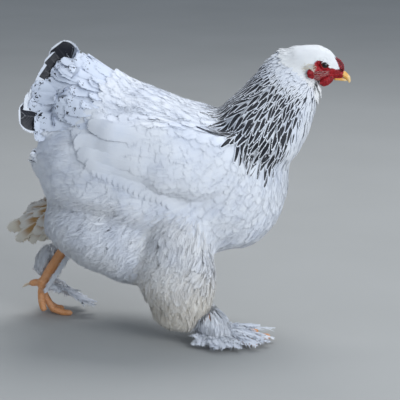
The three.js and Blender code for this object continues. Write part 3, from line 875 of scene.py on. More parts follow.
def ramp(tree, value, low, high, outLow=0.0, outHigh=1.0):
    inputs = {0: value, 1: low, 2: high, 3: outLow, 4: outHigh}
    return addNode(tree, "ShaderNodeMapRange", inputs, interpolation_type="SMOOTHSTEP").outputs[0]


def attribute(tree, name):
    return addNode(tree, "ShaderNodeAttribute", attribute_name=name).outputs["Fac"]


def newGroup(name, inputs, outputs):
    group = bpy.data.node_groups.new(name, "ShaderNodeTree")
    for label, value in inputs.items():
        kind = "NodeSocketColor" if isinstance(value, tuple) else "NodeSocketFloat"
        socket = group.interface.new_socket(label, in_out="INPUT", socket_type=kind)
        socket.default_value = (*value, 1.0) if isinstance(value, tuple) else value
    for label, kind in outputs.items():
        group.interface.new_socket(label, in_out="OUTPUT", socket_type=kind)
    return group, group.nodes.new("NodeGroupInput").outputs, group.nodes.new("NodeGroupOutput").inputs


def useGroup(tree, group, inputs):
    inputs = {key: (*value, 1.0) if isinstance(value, tuple) else value for key, value in inputs.items()}
    return addNode(tree, "ShaderNodeGroup", inputs, node_tree=group).outputs


def objectSpace(tree, scale=1.0):
    place = addNode(tree, "ShaderNodeTexCoord").outputs["Object"]
    return addNode(tree, "ShaderNodeVectorMath", {0: place, "Scale": scale}, operation="SCALE").outputs[0]


def buildVaneGroup():
    # barbs and shaft of a feather, from how far along and across the vane a place is
    group, given, result = newGroup("featherVane", {"Barbs": 30.0, "Lean": 0.35, "Shaft": 0.05},
                                    {"Height": "NodeSocketFloat", "Streaks": "NodeSocketFloat",
                                     "Shaft": "NodeSocketFloat"})
    along, across, seed = (attribute(group, name) for name in ("along", "across", "seed"))
    aside = calc(group, "ABSOLUTE", across)
    lean = calc(group, "MULTIPLY", aside, given["Lean"])
    phase = calc(group, "MULTIPLY", calc(group, "SUBTRACT", along, lean), given["Barbs"])
    own = calc(group, "MULTIPLY", seed, 61.0)
    where = addNode(group, "ShaderNodeCombineXYZ", {0: phase, 1: aside, 2: own})
    drift = addNode(group, "ShaderNodeTexNoise", {"Vector": where.outputs[0], "Scale": 0.35, "Detail": 2.0})
    wave = calc(group, "SINE", calc(group, "MULTIPLY_ADD", phase, 6.283,
                                    calc(group, "MULTIPLY", drift.outputs[0], 9.0)))
    shaft = ramp(group, aside, given["Shaft"], calc(group, "MULTIPLY", given["Shaft"], 0.4))
    fade = calc(group, "MULTIPLY", shaft, ramp(group, along, 0.98, 0.75))
    ridge = calc(group, "MULTIPLY_ADD", wave, 0.5, 0.5)
    group.links.new(calc(group, "MAXIMUM", calc(group, "MULTIPLY", ridge, 0.55), fade), result["Height"])
    group.links.new(calc(group, "MULTIPLY_ADD", ridge, 0.35,
                         calc(group, "MULTIPLY", drift.outputs[0], 0.65)), result["Streaks"])
    group.links.new(fade, result["Shaft"])
    return group


def buildMarkGroup():
    # the dark lens along a feather's middle, inside a pale rim; weak marks are short and slim
    group, given, result = newGroup("darkCentre", {"Rim": 0.3, "Start": 0.3, "Tip Rim": 0.07, "Soft": 0.1},
                                    {"Mask": "NodeSocketFloat"})
    along, across, mark, seed = (attribute(group, name) for name in ("along", "across", "mark", "seed"))
    weak = calc(group, "SUBTRACT", 1.0, mark)
    rim = calc(group, "MULTIPLY_ADD", weak, 0.5, given["Rim"])
    inside = calc(group, "SUBTRACT", 1.0, calc(group, "ABSOLUTE", across))
    fromTip = calc(group, "SUBTRACT", 1.0, along)
    nearRim = calc(group, "MULTIPLY", fromTip, calc(group, "DIVIDE", given["Rim"], given["Tip Rim"]))
    inner = calc(group, "MINIMUM", inside, nearRim)
    edge = ramp(group, calc(group, "SUBTRACT", inner, rim), calc(group, "MULTIPLY", given["Soft"], -0.5),
                calc(group, "MULTIPLY", given["Soft"], 0.5))
    start = calc(group, "MULTIPLY_ADD", weak, 0.35, given["Start"])
    start = calc(group, "MULTIPLY_ADD", calc(group, "SUBTRACT", seed, 0.5), 0.2, start)
    body = ramp(group, calc(group, "SUBTRACT", along, start), -0.06, 0.08)
    present = ramp(group, mark, 0.02, 0.15)
    group.links.new(calc(group, "MULTIPLY", calc(group, "MULTIPLY", edge, body), present), result["Mask"])
    return group


def buildTintGroup():
    # the ground colour of a feather: white with cool and warm drifts over the body, down to cream
    group, given, result = newGroup("plumageTint", {"White": palette["white"], "Cool": palette["cool"],
                                                    "Warm": palette["cream"], "Streaks": 0.5},
                                    {"Color": "NodeSocketColor"})
    drift = addNode(group, "ShaderNodeTexNoise", {"Vector": objectSpace(group), "Scale": 22.0, "Detail": 3.0})
    seed, tone, along = (attribute(group, name) for name in ("seed", "tone", "along"))
    shade = calc(group, "MULTIPLY_ADD", seed, 0.12, ramp(group, drift.outputs[0], 0.35, 0.75, 0.0, 0.4))
    shade = calc(group, "MULTIPLY_ADD", calc(group, "SUBTRACT", given["Streaks"], 0.5), 0.25, shade)
    ground = blendColours(group, shade, given["White"], given["Cool"])
    warm = calc(group, "MULTIPLY", tone, ramp(group, along, 0.0, 1.0, 1.0, 0.7))
    group.links.new(blendColours(group, warm, ground, given["Warm"]), result["Color"])
    return group


def buildGrainGroup():
    # fine folds and pebbles of bare skin, and a mask of their low spots that the skin finish darkens as painted
    # shade
    group, given, result = newGroup("skinGrain", {"Scale": 600.0, "Folds": 160.0},
                                    {"Height": "NodeSocketFloat", "ShadedHollows": "NodeSocketFloat"})
    place = objectSpace(group)
    pebbles = addNode(group, "ShaderNodeTexVoronoi", {"Vector": place, "Scale": given["Scale"]})
    folds = addNode(group, "ShaderNodeTexNoise", {"Vector": place, "Scale": given["Folds"], "Detail": 4.0})
    height = calc(group, "MULTIPLY_ADD", pebbles.outputs["Distance"], -0.5,
                  calc(group, "MULTIPLY", folds.outputs[0], 1.2))
    group.links.new(height, result["Height"])
    group.links.new(ramp(group, height, 0.42, 0.18), result["ShadedHollows"])
    return group


def buildHornGroup():
    # layers of horn: streaks drawn out from front to back
    group, given, result = newGroup("hornLayers", {"Scale": 900.0},
                                    {"Streaks": "NodeSocketFloat", "Height": "NodeSocketFloat"})
    stretched = addNode(group, "ShaderNodeVectorMath", {0: objectSpace(group), 1: (0.15, 1.0, 1.0)},
                        operation="MULTIPLY").outputs[0]
    streaks = addNode(group, "ShaderNodeTexNoise",
                      {"Vector": stretched, "Scale": given["Scale"], "Detail": 4.0}).outputs[0]
    group.links.new(streaks, result["Streaks"])
    group.links.new(calc(group, "MULTIPLY", streaks, 0.6), result["Height"])
    return group


vaneGroup, markGroup, tintGroup = buildVaneGroup(), buildMarkGroup(), buildTintGroup()
grainGroup, hornGroup = buildGrainGroup(), buildHornGroup()


def newMaterial(name, sheen=0.0, coat=0.0, specular=0.5):
    material = bpy.data.materials.new(name)
    material.use_nodes = True
    shader = material.node_tree.nodes["Principled BSDF"]
    shader.inputs["Sheen Weight"].default_value = sheen
    shader.inputs["Sheen Roughness"].default_value = 0.5
    shader.inputs["Coat Weight"].default_value = coat
    shader.inputs["Coat Roughness"].default_value = 0.12
    shader.inputs["Specular IOR Level"].default_value = specular
    return material, material.node_tree, shader.inputs


def finishMaterial(tree, sockets, colour, roughness, height, depth):
    bump = addNode(tree, "ShaderNodeBump", {"Height": height, "Distance": depth * mm, "Strength": 1.0})
    tree.links.new(colour, sockets["Base Color"])
    tree.links.new(roughness, sockets["Roughness"])
    tree.links.new(bump.outputs[0], sockets["Normal"])


def featherMaterial(name, barbs=30.0, white=palette["white"], cool=palette["cool"], dark=palette["black"],
                    marks=None, flecks=None, roughness=0.75):
    # marks are dark centres inside pale rims, and flecks are dark spots towards the tip
    material, tree, sockets = newMaterial(name, sheen=0.12, specular=0.3)
    vane = useGroup(tree, vaneGroup, {"Barbs": barbs})
    colour = useGroup(tree, tintGroup, {"White": white, "Cool": cool, "Streaks": vane["Streaks"]})["Color"]
    mask = 0.0
    if marks:
        mask = useGroup(tree, markGroup, marks)["Mask"]
        mask = calc(tree, "MULTIPLY", mask, ramp(tree, vane["Streaks"], 0.12, 0.3))
    if flecks:
        along, across, mark = (attribute(tree, key) for key in ("along", "across", "mark"))
        own = calc(tree, "MULTIPLY", attribute(tree, "seed"), 83.0)
        stretched = calc(tree, "MULTIPLY", along, 4.5)
        where = addNode(tree, "ShaderNodeCombineXYZ", {0: stretched, 1: across, 2: own})
        spots = addNode(tree, "ShaderNodeTexNoise",
                        {"Vector": where.outputs[0], "Scale": flecks["scale"], "Detail": 2.0}).outputs[0]
        spots = ramp(tree, spots, flecks["from"], flecks["from"] + 0.06)
        zone = calc(tree, "MULTIPLY", ramp(tree, along, flecks["start"], flecks["start"] + 0.15), mark)
        mask = calc(tree, "MAXIMUM", mask, calc(tree, "MULTIPLY", spots, zone))
    if marks or flecks:
        colour = blendColours(tree, mask, colour, dark)
    shaft = calc(tree, "MULTIPLY", vane["Shaft"], 0.02 if marks else 0.3)
    colour = blendColours(tree, shaft, colour, white)
    rough = calc(tree, "MULTIPLY_ADD", vane["Streaks"], 0.15, roughness - 0.08)
    if marks:
        rough = calc(tree, "MULTIPLY_ADD", mask, -0.25, rough)
    finishMaterial(tree, sockets, colour, rough, vane["Height"], 0.12)
    return material


def skinMaterial():
    material, tree, sockets = newMaterial("bareSkin", sheen=0.02, specular=0.3)
    grain = useGroup(tree, grainGroup, {"Scale": 700.0, "Folds": 190.0})
    bareShare, striped, tailDark = (attribute(tree, key) for key in ("bare", "striped", "tailDark"))
    broad = addNode(tree, "ShaderNodeTexNoise", {"Vector": objectSpace(tree), "Scale": 260.0, "Detail": 3.0})
    # the paler pink is the comb's own colour, and also painted highlight flecked at random over the red face
    red = blendColours(tree, ramp(tree, broad.outputs[0], 0.48, 0.68), palette["bareRed"], palette["combPinkAndHighlight"])
    offComb = calc(tree, "SUBTRACT", 1.0, ramp(tree, attribute(tree, "comb"), 0.0, 1.0, 0.35, 1.0))
    red = blendColours(tree, offComb, red, palette["bareRed"])
    # painted shade: the face's folds, nostril slits and the grain's low spots are darkened towards a dark red
    hollowShade = calc(tree, "MAXIMUM", attribute(tree, "hollowShade"), calc(tree, "MULTIPLY", grain["ShadedHollows"], 0.6))
    red = blendColours(tree, calc(tree, "MULTIPLY", hollowShade, 0.85), red, palette["paintedShadeRed"])
    stripes = addNode(tree, "ShaderNodeTexNoise", {"Vector": objectSpace(tree), "Scale": 160.0})
    striped = calc(tree, "MULTIPLY", striped, ramp(tree, stripes.outputs[0], 0.4, 0.55))
    darkness = calc(tree, "MAXIMUM", striped, tailDark)
    down = blendColours(tree, calc(tree, "MULTIPLY", darkness, 0.85), palette["downSkin"], palette["black"])
    rough = calc(tree, "MULTIPLY_ADD", bareShare, -0.22, 0.72)
    height = calc(tree, "MULTIPLY", grain["Height"], calc(tree, "MULTIPLY_ADD", bareShare, 0.9, 0.1))
    finishMaterial(tree, sockets, blendColours(tree, bareShare, down, red), rough, height, 0.25)
    return material


def legMaterial():
    material, tree, sockets = newMaterial("scaledLeg", specular=0.4)
    grain = useGroup(tree, grainGroup, {"Scale": 900.0, "Folds": 140.0})
    scute = attribute(tree, "scute")
    colour = blendColours(tree, grain["Height"], palette["legOrange"], palette["legPale"])
    colour = blendColours(tree, ramp(tree, scute, 0.35, 0.05, 0.0, 0.6), colour, palette["legDark"])
    rough = calc(tree, "MULTIPLY_ADD", grain["Height"], 0.2, 0.4)
    finishMaterial(tree, sockets, colour, rough, calc(tree, "MULTIPLY_ADD", scute, 0.6, grain["Height"]), 0.2)
    return material


def hornMaterial(name, ground, pale, dark, paleFrom, paleTo):
    # horn that is darkest at its root and pales along its length
    material, tree, sockets = newMaterial(name, coat=0.15, specular=0.5)
    horn = useGroup(tree, hornGroup, {"Scale": 700.0})
    worn = attribute(tree, "worn")
    colour = blendColours(tree, calc(tree, "MULTIPLY", horn["Streaks"], 0.5), ground, pale)
    colour = blendColours(tree, ramp(tree, worn, paleFrom, paleTo), colour, pale)
    colour = blendColours(tree, ramp(tree, worn, 0.12, 0.0, 0.0, 0.8), colour, dark)
    rough = calc(tree, "MULTIPLY_ADD", horn["Streaks"], 0.3, 0.2)
    finishMaterial(tree, sockets, colour, rough, horn["Height"], 0.1)
    return material


def eyeMaterial():
    material, tree, sockets = newMaterial("wetEye", coat=0.35, specular=0.3)
    polar, turn = attribute(tree, "polar"), attribute(tree, "turn")
    where = addNode(tree, "ShaderNodeCombineXYZ", {0: calc(tree, "MULTIPLY", turn, 7.0), 1: polar})
    rays = addNode(tree, "ShaderNodeTexNoise", {"Vector": where.outputs[0], "Scale": 6.0, "Detail": 3.0})
    iris = blendColours(tree, rays.outputs[0], palette["irisDark"], palette["irisRed"])
    colour = blendColours(tree, ramp(tree, polar, 0.44, 0.40), iris, palette["pupil"])
    colour = blendColours(tree, ramp(tree, polar, 0.60, 0.66), colour, palette["eyeRim"])
    rough = ramp(tree, rays.outputs[0], 0.0, 1.0, 0.08, 0.22)
    finishMaterial(tree, sockets, colour, rough, rays.outputs[0], 0.02)
    return material


def floorMaterial():
    material, tree, sockets = newMaterial("paleFloor", specular=0.2)
    broad = addNode(tree, "ShaderNodeTexNoise", {"Vector": objectSpace(tree), "Scale": 3.0, "Detail": 4.0})
    fine = addNode(tree, "ShaderNodeTexNoise", {"Vector": objectSpace(tree), "Scale": 900.0, "Detail": 2.0})
    colour = blendColours(tree, broad.outputs[0], palette["floorDark"], palette["floorPale"])
    rough = ramp(tree, fine.outputs[0], 0.3, 0.7, 0.75, 0.9)
    finishMaterial(tree, sockets, colour, rough, fine.outputs[0], 0.1)
    return material


skinMesh.materials.append(skinMaterial())
skinMesh.materials.append(legMaterial())
report("finishes made")

# ---- the coat, region by region

feathered = ["head", "neck", "trunk", "tail", "wing", "thigh"]
owner = onSkin(np.argmin([near[name] for name in feathered], axis=0))
owner[len(points):] = -1
alongNeck = onSkin(near["head"] / np.maximum(near["head"] + near["trunk"], 1e-6))
fromHead = onSkin(near["head"])
coatDepth = onSkin(depth) / mm
bareAll = onSkin(bare)
skinPlaces = bodyCarrier["places"]


def region(name, chosen=True):
    # 1 at the skin's points where one region's feathers grow
    return ((owner == feathered.index(name)) & (bareAll < 0.45) & chosen).astype(float)


def between(node, axis, fromShare, toShare, places):
    # rises from 0 to 1 as places go from one share of a solid's box to another
    knots = [spot(node, share, share, share)[axis] for share in (fromShare, toShare)]
    return smoothStep(knots[0], knots[1], places[:, axis])


def guidesFrom(carrier, centre, lean=(0, 0, 0)):
    # guides that point away from a centre, leaned the same way all over
    places = carrier["places"][::20]
    return places, unit(unit(places - centre) + np.array(lean))


patterns = {
    "tiny": cutPattern(3, 0.6, 2, 0.6),
    "contour": cutPattern(5, 0.62, 4, 0.32),
    "down": cutPattern(5, 0.4, 3, 0.5),
    "broad": cutPattern(7, 0.88, 3, 0.2),
    "wisp": cutStrands(4, 7, 0.05),
    "bristle": cutStrands(3, 3, 0.035),
}
whiteFeathers = featherMaterial("whiteFeathers")
softFeathers = featherMaterial("softFeathers", barbs=18.0)

# the crown and cheeks: the finest feathers, shortest round the bare face
crownPlan = {"pattern": patterns["tiny"], "outline": (0.6, 0.4, 1.5), "cup": 0.15, "stray": 7, "settle": 0.8,
             "ragged": 0.3, "spread": 0.05, "soft": 0.8, "spacing": 1.45, "rise": 0.5, "napeLift": 5}
ahead, above = ((skinPlaces[:, axis] - eyes["left"][axis]) / mm for axis in (0, 2))
earPlan = {"pattern": patterns["bristle"], "outline": (0.7, 0.5, 2.0), "cup": 0.1, "stray": 12, "settle": 0.8,
           "ragged": 0.5, "spacing": 1.05,
           "ahead": -18.5, "above": -4.0, "length": 8.3, "height": 7.4}  # mm from the eye, and half sizes
earPatch = np.hypot((ahead - earPlan["ahead"]) / earPlan["length"],
                    (above - earPlan["above"]) / earPlan["height"]) < 1
earPatch = earPatch & (np.abs(skinPlaces[:, 1] - middleY) > 8 * mm)
crownRoots = chooseRoots(bodyCarrier, region("head", ~earPatch), crownPlan["spacing"] * mm, 11)


def onNape(places):
    # the fuller feathers that carry the line of her crown on to her neck
    offset = (places - eyes["left"]) / mm
    return smoothStep(28, 8, np.hypot(offset[:, 0] + 50, offset[:, 2] - 20))


throatPlan = {"pattern": patterns["contour"], "outline": (0.5, 0.5, 1.6), "cup": 0.25, "ragged": 0.5,
              "spread": 0.06, "soft": 0.4, "roll": 10, "number": 9, "width": 8, "aside": 8, "bulge": 11,
              "tiers": ((-11, -25, 24), (-14, -29, 27), (-18, -34, 28))}  # ahead and above the eye, length


def layThroat():
    # white feathers that hang from her throat behind the wattles
    rows = np.linspace(0, 1, throatPlan["pattern"]["rows"] + 1)[:, None]
    shafts, ups, rng = [], [], np.random.default_rng(60)
    for forward, upward, longest in throatPlan["tiers"]:
        for aside in np.linspace(-1, 1, throatPlan["number"]):
            length = longest * (1.05 - 0.35 * aside ** 2) * rng.uniform(0.8, 1.0)
            start = eyes["left"] + np.array((forward, 0, upward)) * mm
            start[1] = middleY + aside * throatPlan["aside"] * mm
            root = np.array(bodyCarrier["tree"].find_nearest(start)[0])
            outward = unit(np.array((1.0, aside * 0.8, 0.15)))
            shafts.append(root + (outward * throatPlan["bulge"] * rows ** 0.5 * (1 - 0.35 * rows)
                                  - np.array((0, 0, length)) * rows) * mm)
            ups.append(np.repeat(outward[None], len(rows), axis=0))
    roots = setSizes(handRoots(np.array(shafts), 61), 1, throatPlan["width"], 1)
    return hangVanes(np.array(shafts), np.array(ups), roots, throatPlan)


away = smoothStep(0, 0.4, atRoots(crownRoots, bareAll))
nape = onNape(crownRoots["place"])
setSizes(crownRoots, mix(11, 5, away) + 7 * nape, mix(4.2, 2.0, away),
         atRoots(crownRoots, coatDepth) * mix(1.05, 0.8, away) + crownPlan["napeLift"] * nape)
crownFeathers = featherMaterial("crownFeathers", white=palette["purest"], cool=palette["white"])
makeCoat("crown_feathers", [growFeathers(crownRoots, crownPlan), layThroat()],
         crownFeathers)

# short tufts over the ear, and thin bristles on the bare cheek
earFeathers = featherMaterial("earFeathers", barbs=4.0, white=palette["creamWhite"], cool=palette["cream"])
offComb = onSkin(fleshy) < 0.3
earRoots = chooseRoots(bodyCarrier, (earPatch & offComb).astype(float), earPlan["spacing"] * mm, 21)
setSizes(earRoots, 7.0, 3.0, 1.4)
bristlePlan = {"pattern": patterns["bristle"], "outline": (0.7, 0.5, 2.0), "cup": 0.1, "stray": 16,
               "settle": 0.6, "ragged": 0.8, "spacing": 1.15}
cheek = (bareAll > 0.5) & (ahead > -15) & (ahead < 8) & (above > -25) & (above < -9) & offComb
bristleRoots = chooseRoots(bodyCarrier, cheek.astype(float), bristlePlan["spacing"] * mm, 22)
setSizes(bristleRoots, 4.5, 1.6, 0.9)
makeCoat("ear_feathers", [growFeathers(earRoots, earPlan)], earFeathers)
bristles = featherMaterial("cheekBristles", barbs=4.0, white=palette["bristlePale"], cool=palette["bristle"])
makeCoat("cheek_bristles", [growFeathers(bristleRoots, bristlePlan)], bristles)

# the cape: long pointed feathers with dark centres, set in slanting rows down the neck
capePlan = {"pattern": cutPattern(8, 0.8, 2, 0.18), "outline": (0.5, 0.45, 1.45), "cup": 0.16, "stray": 3.5,
            "settle": 0.8, "ragged": 0.3, "spread": 0.1, "soft": 0.5, "steer": 0.3, "rise": 0.5,
            "stretch": 1.75, "proud": 1.4, "napeLift": 3,  # lifts in mm over the coat's depth
            "spacing": (2.3, 5.4), "length": (13, 44), "width": (4.2, 10.0)}  # by the head, by the shoulders
capeFeathers = featherMaterial("capeFeathers", barbs=34.0, roughness=0.6,
                               marks={"Rim": 0.34, "Start": 0.3, "Tip Rim": 0.05, "Soft": 0.1})
downNeck = smoothStep(0.0, 0.7, alongNeck)
capeRoots = chooseRoots(bodyCarrier, region("neck", alongNeck < 0.84),
                        mix(*capePlan["spacing"], downNeck) * mm, 12, bodyGuides, capePlan["stretch"])
downHere = atRoots(capeRoots, downNeck)
throat = spot("neck", 0.97, 0.5, 0.6)
throatX = throat[0] - (throat[2] - capeRoots["place"][:, 2]) * 0.45  # it slopes back towards the breast
frontward = smoothStep(22 * mm, 6 * mm, throatX - capeRoots["place"][:, 0])
marked = smoothStep(8, 34, atRoots(capeRoots, fromHead) / mm) * (1 - frontward)
capeLift = atRoots(capeRoots, coatDepth) + 0.2 + capePlan["proud"] * downHere
setSizes(capeRoots, mix(*capePlan["length"], downHere), mix(*capePlan["width"], downHere),
         capeLift + capePlan["napeLift"] * onNape(capeRoots["place"]), mark=marked)
makeCoat("cape_feathers", [growFeathers(capeRoots, capePlan)], capeFeathers)

# breast, back and flanks
bodyPlan = {"pattern": patterns["contour"], "outline": (0.5, 0.5, 1.9), "cup": 0.1, "stray": 7, "settle": 0.8,
            "ragged": 0.5, "spread": 0.06, "soft": 0.65, "spacing": 5.8, "steer": 0.35, "rise": 0.4}
hindness = between("trunk", 0, 0.62, 0.42, skinPlaces)
lowness = between("trunk", 2, 0.55, 0.42, skinPlaces)
fluffy = hindness * lowness
rump = between("trunk", 0, 0.2, 0.12, skinPlaces) * between("trunk", 2, 0.42, 0.52, skinPlaces)
bodyShare = np.maximum(region("trunk", (fluffy < 0.5) & (rump < 0.5)), region("neck", alongNeck > 0.8))
bodyRoots = chooseRoots(bodyCarrier, bodyShare, bodyPlan["spacing"] * mm, 13)
breast = between("trunk", 0, 0.6, 0.85, bodyRoots["place"])
fromSeam = np.abs(onSkin(near["wing"]) - onSkin(near["trunk"])) / mm
atWing = smoothStep(30, 10, fromSeam) * between("trunk", 2, 0.68, 0.78, skinPlaces)
flattened = coatDepth * (1 - 0.75 * atWing)  # the coat lies flat into the wing
setSizes(bodyRoots, mix(40, 30, breast), mix(20, 16, breast), atRoots(bodyRoots, flattened))
makeCoat("body_feathers", [growFeathers(bodyRoots, bodyPlan)], whiteFeathers)

# under the tail: large round cushions of soft feathers
rumpPlan = {"pattern": patterns["broad"], "outline": (0.5, 0.6, 2.3), "cup": 0.2, "stray": 5, "settle": 0.9,
            "ragged": 0.3, "spread": 0.06, "soft": 0.35, "spacing": 7.5, "steer": 0.35, "rise": 0.6}
rumpRoots = chooseRoots(bodyCarrier, region("trunk", rump >= 0.5), rumpPlan["spacing"] * mm, 18)
setSizes(rumpRoots, 27, 23, atRoots(rumpRoots, coatDepth))
makeCoat("rump_feathers", [growFeathers(rumpRoots, rumpPlan)], softFeathers)

# the hind belly and thighs: loose down with long free barbs, and wisps over it
fluffPlan = {"pattern": patterns["down"], "outline": (0.6, 0.45, 1.6), "cup": 0.15, "stray": 14, "settle": 0.6,
             "ragged": 0.9, "steer": 0.3, "bend": 6, "rise": 0.45}
wispPlan = {"pattern": patterns["wisp"], "outline": (0.5, 0.7, 2.0), "cup": 0.1, "stray": 15, "settle": 0.6,
            "ragged": 0.6, "steer": 0.3, "bend": 8, "rise": 0.4}
downCoats = {  # length and cream: high and low on the thigh; raised: times the coat's depth
    "fluff_feathers": {"plan": fluffPlan, "spacing": 6.0, "seed": 14, "length": (34, 34), "width": 17,
                       "raised": 1.0, "cream": (0.1, 0.1), "slot": "white_feathers"},
    "fluff_wisps": {"plan": wispPlan, "spacing": 5.0, "seed": 24, "length": (30, 30), "width": 13,
                    "raised": 1.4, "cream": (0.08, 0.08), "slot": "white_feathers"},
    "thigh_feathers": {"plan": fluffPlan, "spacing": 5.2, "seed": 15, "length": (32, 26), "width": 14,
                       "raised": 1.0, "cream": (0.2, 0.7), "slot": "cream_feathers"},
    "thigh_wisps": {"plan": wispPlan, "spacing": 5.0, "seed": 25, "length": (27, 22), "width": 11,
                    "raised": 1.3, "cream": (0.2, 0.7), "slot": "cream_feathers"},
}


def layDown(name, density):
    coat = downCoats[name]
    roots = chooseRoots(bodyCarrier, density, coat["spacing"] * mm, coat["seed"])
    low = between("thigh_right", 2, 0.75, 0.2, roots["place"])
    setSizes(roots, mix(*coat["length"], low), coat["width"], atRoots(roots, coatDepth) * coat["raised"],
             tone=mix(*coat["cream"], low))
    makeCoat(name, [growFeathers(roots, coat["plan"])], softFeathers)


fluffShare = region("trunk", (fluffy >= 0.5) & (rump < 0.5))
layDown("fluff_feathers", fluffShare)
layDown("fluff_wisps", fluffShare)

# a thin veil of loose barbs softens the smooth feathers of the flank, breast and fore wing
veilPlan = {"pattern": patterns["wisp"], "outline": (0.5, 0.7, 2.0), "cup": 0.1, "stray": 10, "settle": 0.8,
            "ragged": 0.6, "soft": 0.6, "spacing": 6.6, "steer": 0.3, "bend": 5, "rise": 0.35}
foreWing = region("wing", between("wing_right", 0, 0.5, 0.6, skinPlaces) > 0.5)
veilRoots = chooseRoots(bodyCarrier, np.maximum(bodyShare, foreWing), veilPlan["spacing"] * mm, 29)
setSizes(veilRoots, 30, 13, atRoots(veilRoots, coatDepth * (1.15 - 0.55 * atWing)))
makeCoat("veil_feathers", [growFeathers(veilRoots, veilPlan)], softFeathers)

layDown("thigh_feathers", region("thigh"))
layDown("thigh_wisps", region("thigh"))

# wings: smooth coverts in front, and broad flight feathers whose round ends close over the flank
wingPlan = {"pattern": patterns["contour"], "outline": (0.5, 0.55, 2.1), "cup": 0.08, "stray": 4, "settle": 0.6,
            "ragged": 0.35, "spread": 0.05, "soft": 0.65, "spacing": 6.2, "steer": 0.35, "rise": 0.4}
flightPlan = {"pattern": cutPattern(12, 0.9, 3, 0.08), "outline": (0.6, 0.72, 2.5), "cup": 0.28,
              "ragged": 0.12, "spread": 0.05, "soft": 0.15, "lift": 9.0 * mm, "width": 32}
flightLines = [  # from the last to close, low on the flank, to the first, under the saddle
    [("wing_right", 0.50, 0.0, 0.20), ("wing_right", 0.28, 0.05, 0.30), ("wing_right", 0.02, 0.2, 0.46)],
    [("wing_right", 0.52, 0.0, 0.42), ("wing_right", 0.25, 0.05, 0.50), ("wing_right", -0.06, 0.2, 0.60)],
    [("wing_right", 0.52, 0.0, 0.56), ("wing_right", 0.22, 0.1, 0.66), ("wing_right", -0.08, 0.3, 0.76)],
    [("wing_right", 0.54, 0.1, 0.74), ("wing_right", 0.30, 0.2, 0.84), ("wing_right", 0.02, 0.4, 0.93)],
]
wingRoots = chooseRoots(bodyCarrier, region("wing"), wingPlan["spacing"] * mm, 16)
setSizes(wingRoots, 38, 20, atRoots(wingRoots, coatDepth))
shafts, ups = drapeShafts(bothSides(flightLines), flightPlan["pattern"]["rows"], flightPlan["lift"],
                          bodyCarrier)
flights = setSizes(handRoots(shafts, 26), 1, flightPlan["width"], 1)
makeCoat("wing_feathers", [growFeathers(wingRoots, wingPlan), hangVanes(shafts, ups, flights, flightPlan)],
         whiteFeathers)

# where the wing closes over the flank, its lowest feathers stand a little proud of it
edgePlan = {"pattern": cutPattern(7, 0.7, 3, 0.28), "outline": (0.5, 0.6, 2.1), "cup": 0.2, "ragged": 0.4,
            "spread": 0.06, "soft": 0.6, "roll": 3,
            "lift": 7.5 * mm, "length": 46 * mm, "spacing": 8.5 * mm, "width": 25}
underWing = [("wing_right", 0.06, 0.1, 0.34), ("wing_right", 0.26, 0.0, 0.16), ("wing_right", 0.42, 0.0, 0.0),
             ("wing_right", 0.56, 0.0, -0.1)]


def layEdges():
    lines = []
    for knots in bothSides([underWing]):
        lengths = np.concatenate([[0], np.cumsum(np.linalg.norm(np.diff(knots, axis=0), axis=1))])
        steps = np.arange(0, lengths[-1], edgePlan["spacing"])
        ends = np.stack([np.interp(steps, lengths, knots[:, axis]) for axis in range(3)], axis=1)
        ends, outward = nearestOn(bodyCarrier, ends)
        lie = lieAt(ends, outward, bodyGuides)
        lines += [[end - way * edgePlan["length"], end - way * edgePlan["length"] / 2, end]
                  for end, way in zip(ends, lie)]
    shafts, ups = drapeShafts(lines, edgePlan["pattern"]["rows"], edgePlan["lift"], bodyCarrier)
    return hangVanes(shafts, ups, setSizes(handRoots(shafts, 27), 1, edgePlan["width"], 1), edgePlan)


makeCoat("edge_feathers", [layEdges()], whiteFeathers)

# tail: main feathers fanned out from one root like a tent, under rows of round coverts
fanPlan = {"pattern": cutPattern(18, 0.94, 3, 0.04), "outline": (0.5, 0.62, 2.2), "cup": 0.12, "ragged": 0.1,
           "number": 7, "from": 127, "to": 172, "reach": (139, 130), "dip": 8, "aside": (4, 60), "width": 46,
           "roll": 2, "spread": 0.06, "soft": 0.3, "dark": (1, 1, 0.85, 0, 0, 0, 1)}
covertPlan = {"pattern": patterns["broad"], "outline": (0.4, 0.62, 2.2), "cup": 0.36, "stray": 5,
              "settle": 0.7, "ragged": 0.3, "spread": 0.04, "soft": 0.0, "steer": 0.3, "rise": 0.5,
              "spacing": 11.0, "length": 42, "width": (31, 22),  # the narrow ones lie along the tail's top
              "ends": ((-0.6, -0.1, 0.2, 0.36, 0.8, 0.95, 1.0),  # shares from top to bottom of the fan
                       (0.84, 0.90, 0.88, 0.97, 0.97, 0.84, 0.82)),  # how far out the coverts reach there
              "least": 27, "longest": 64}  # mm of room: the least for a covert, and the most that one fills
tailRoot = spot("tail", 0.78, 0.5, 0.06)
tailRoot[1] = middleY
tailHeart = spot("tail", 1.2, 0.5, -0.05)  # the coverts lie away from this place inside her back
tailHeart[1] = middleY


def fanPlace(share, reach, sign):
    # a place in the tail's fan: share from its top to its bottom feather, and how far out
    angle = np.radians(mix(fanPlan["from"], fanPlan["to"], share))
    length = (mix(*fanPlan["reach"], share) - fanPlan["dip"] * np.sin(math.pi * np.clip(share, 0, 1))) * mm
    aside = mix(*fanPlan["aside"], np.clip(share, 0, 1.1) ** 1.2) * mm * sign
    return tailRoot + np.stack([np.cos(angle) * length, aside, np.sin(angle) * length], axis=-1) * reach


def fanOutward(share, shaft, sign):
    # the way that the fan's side faces
    across = fanPlace(share + 0.03, 1.0, sign) - fanPlace(share - 0.03, 1.0, sign)
    outward = unit(np.cross(across, shaft[-1] - shaft[0]))
    return outward if outward[1] * sign > 0 else -outward


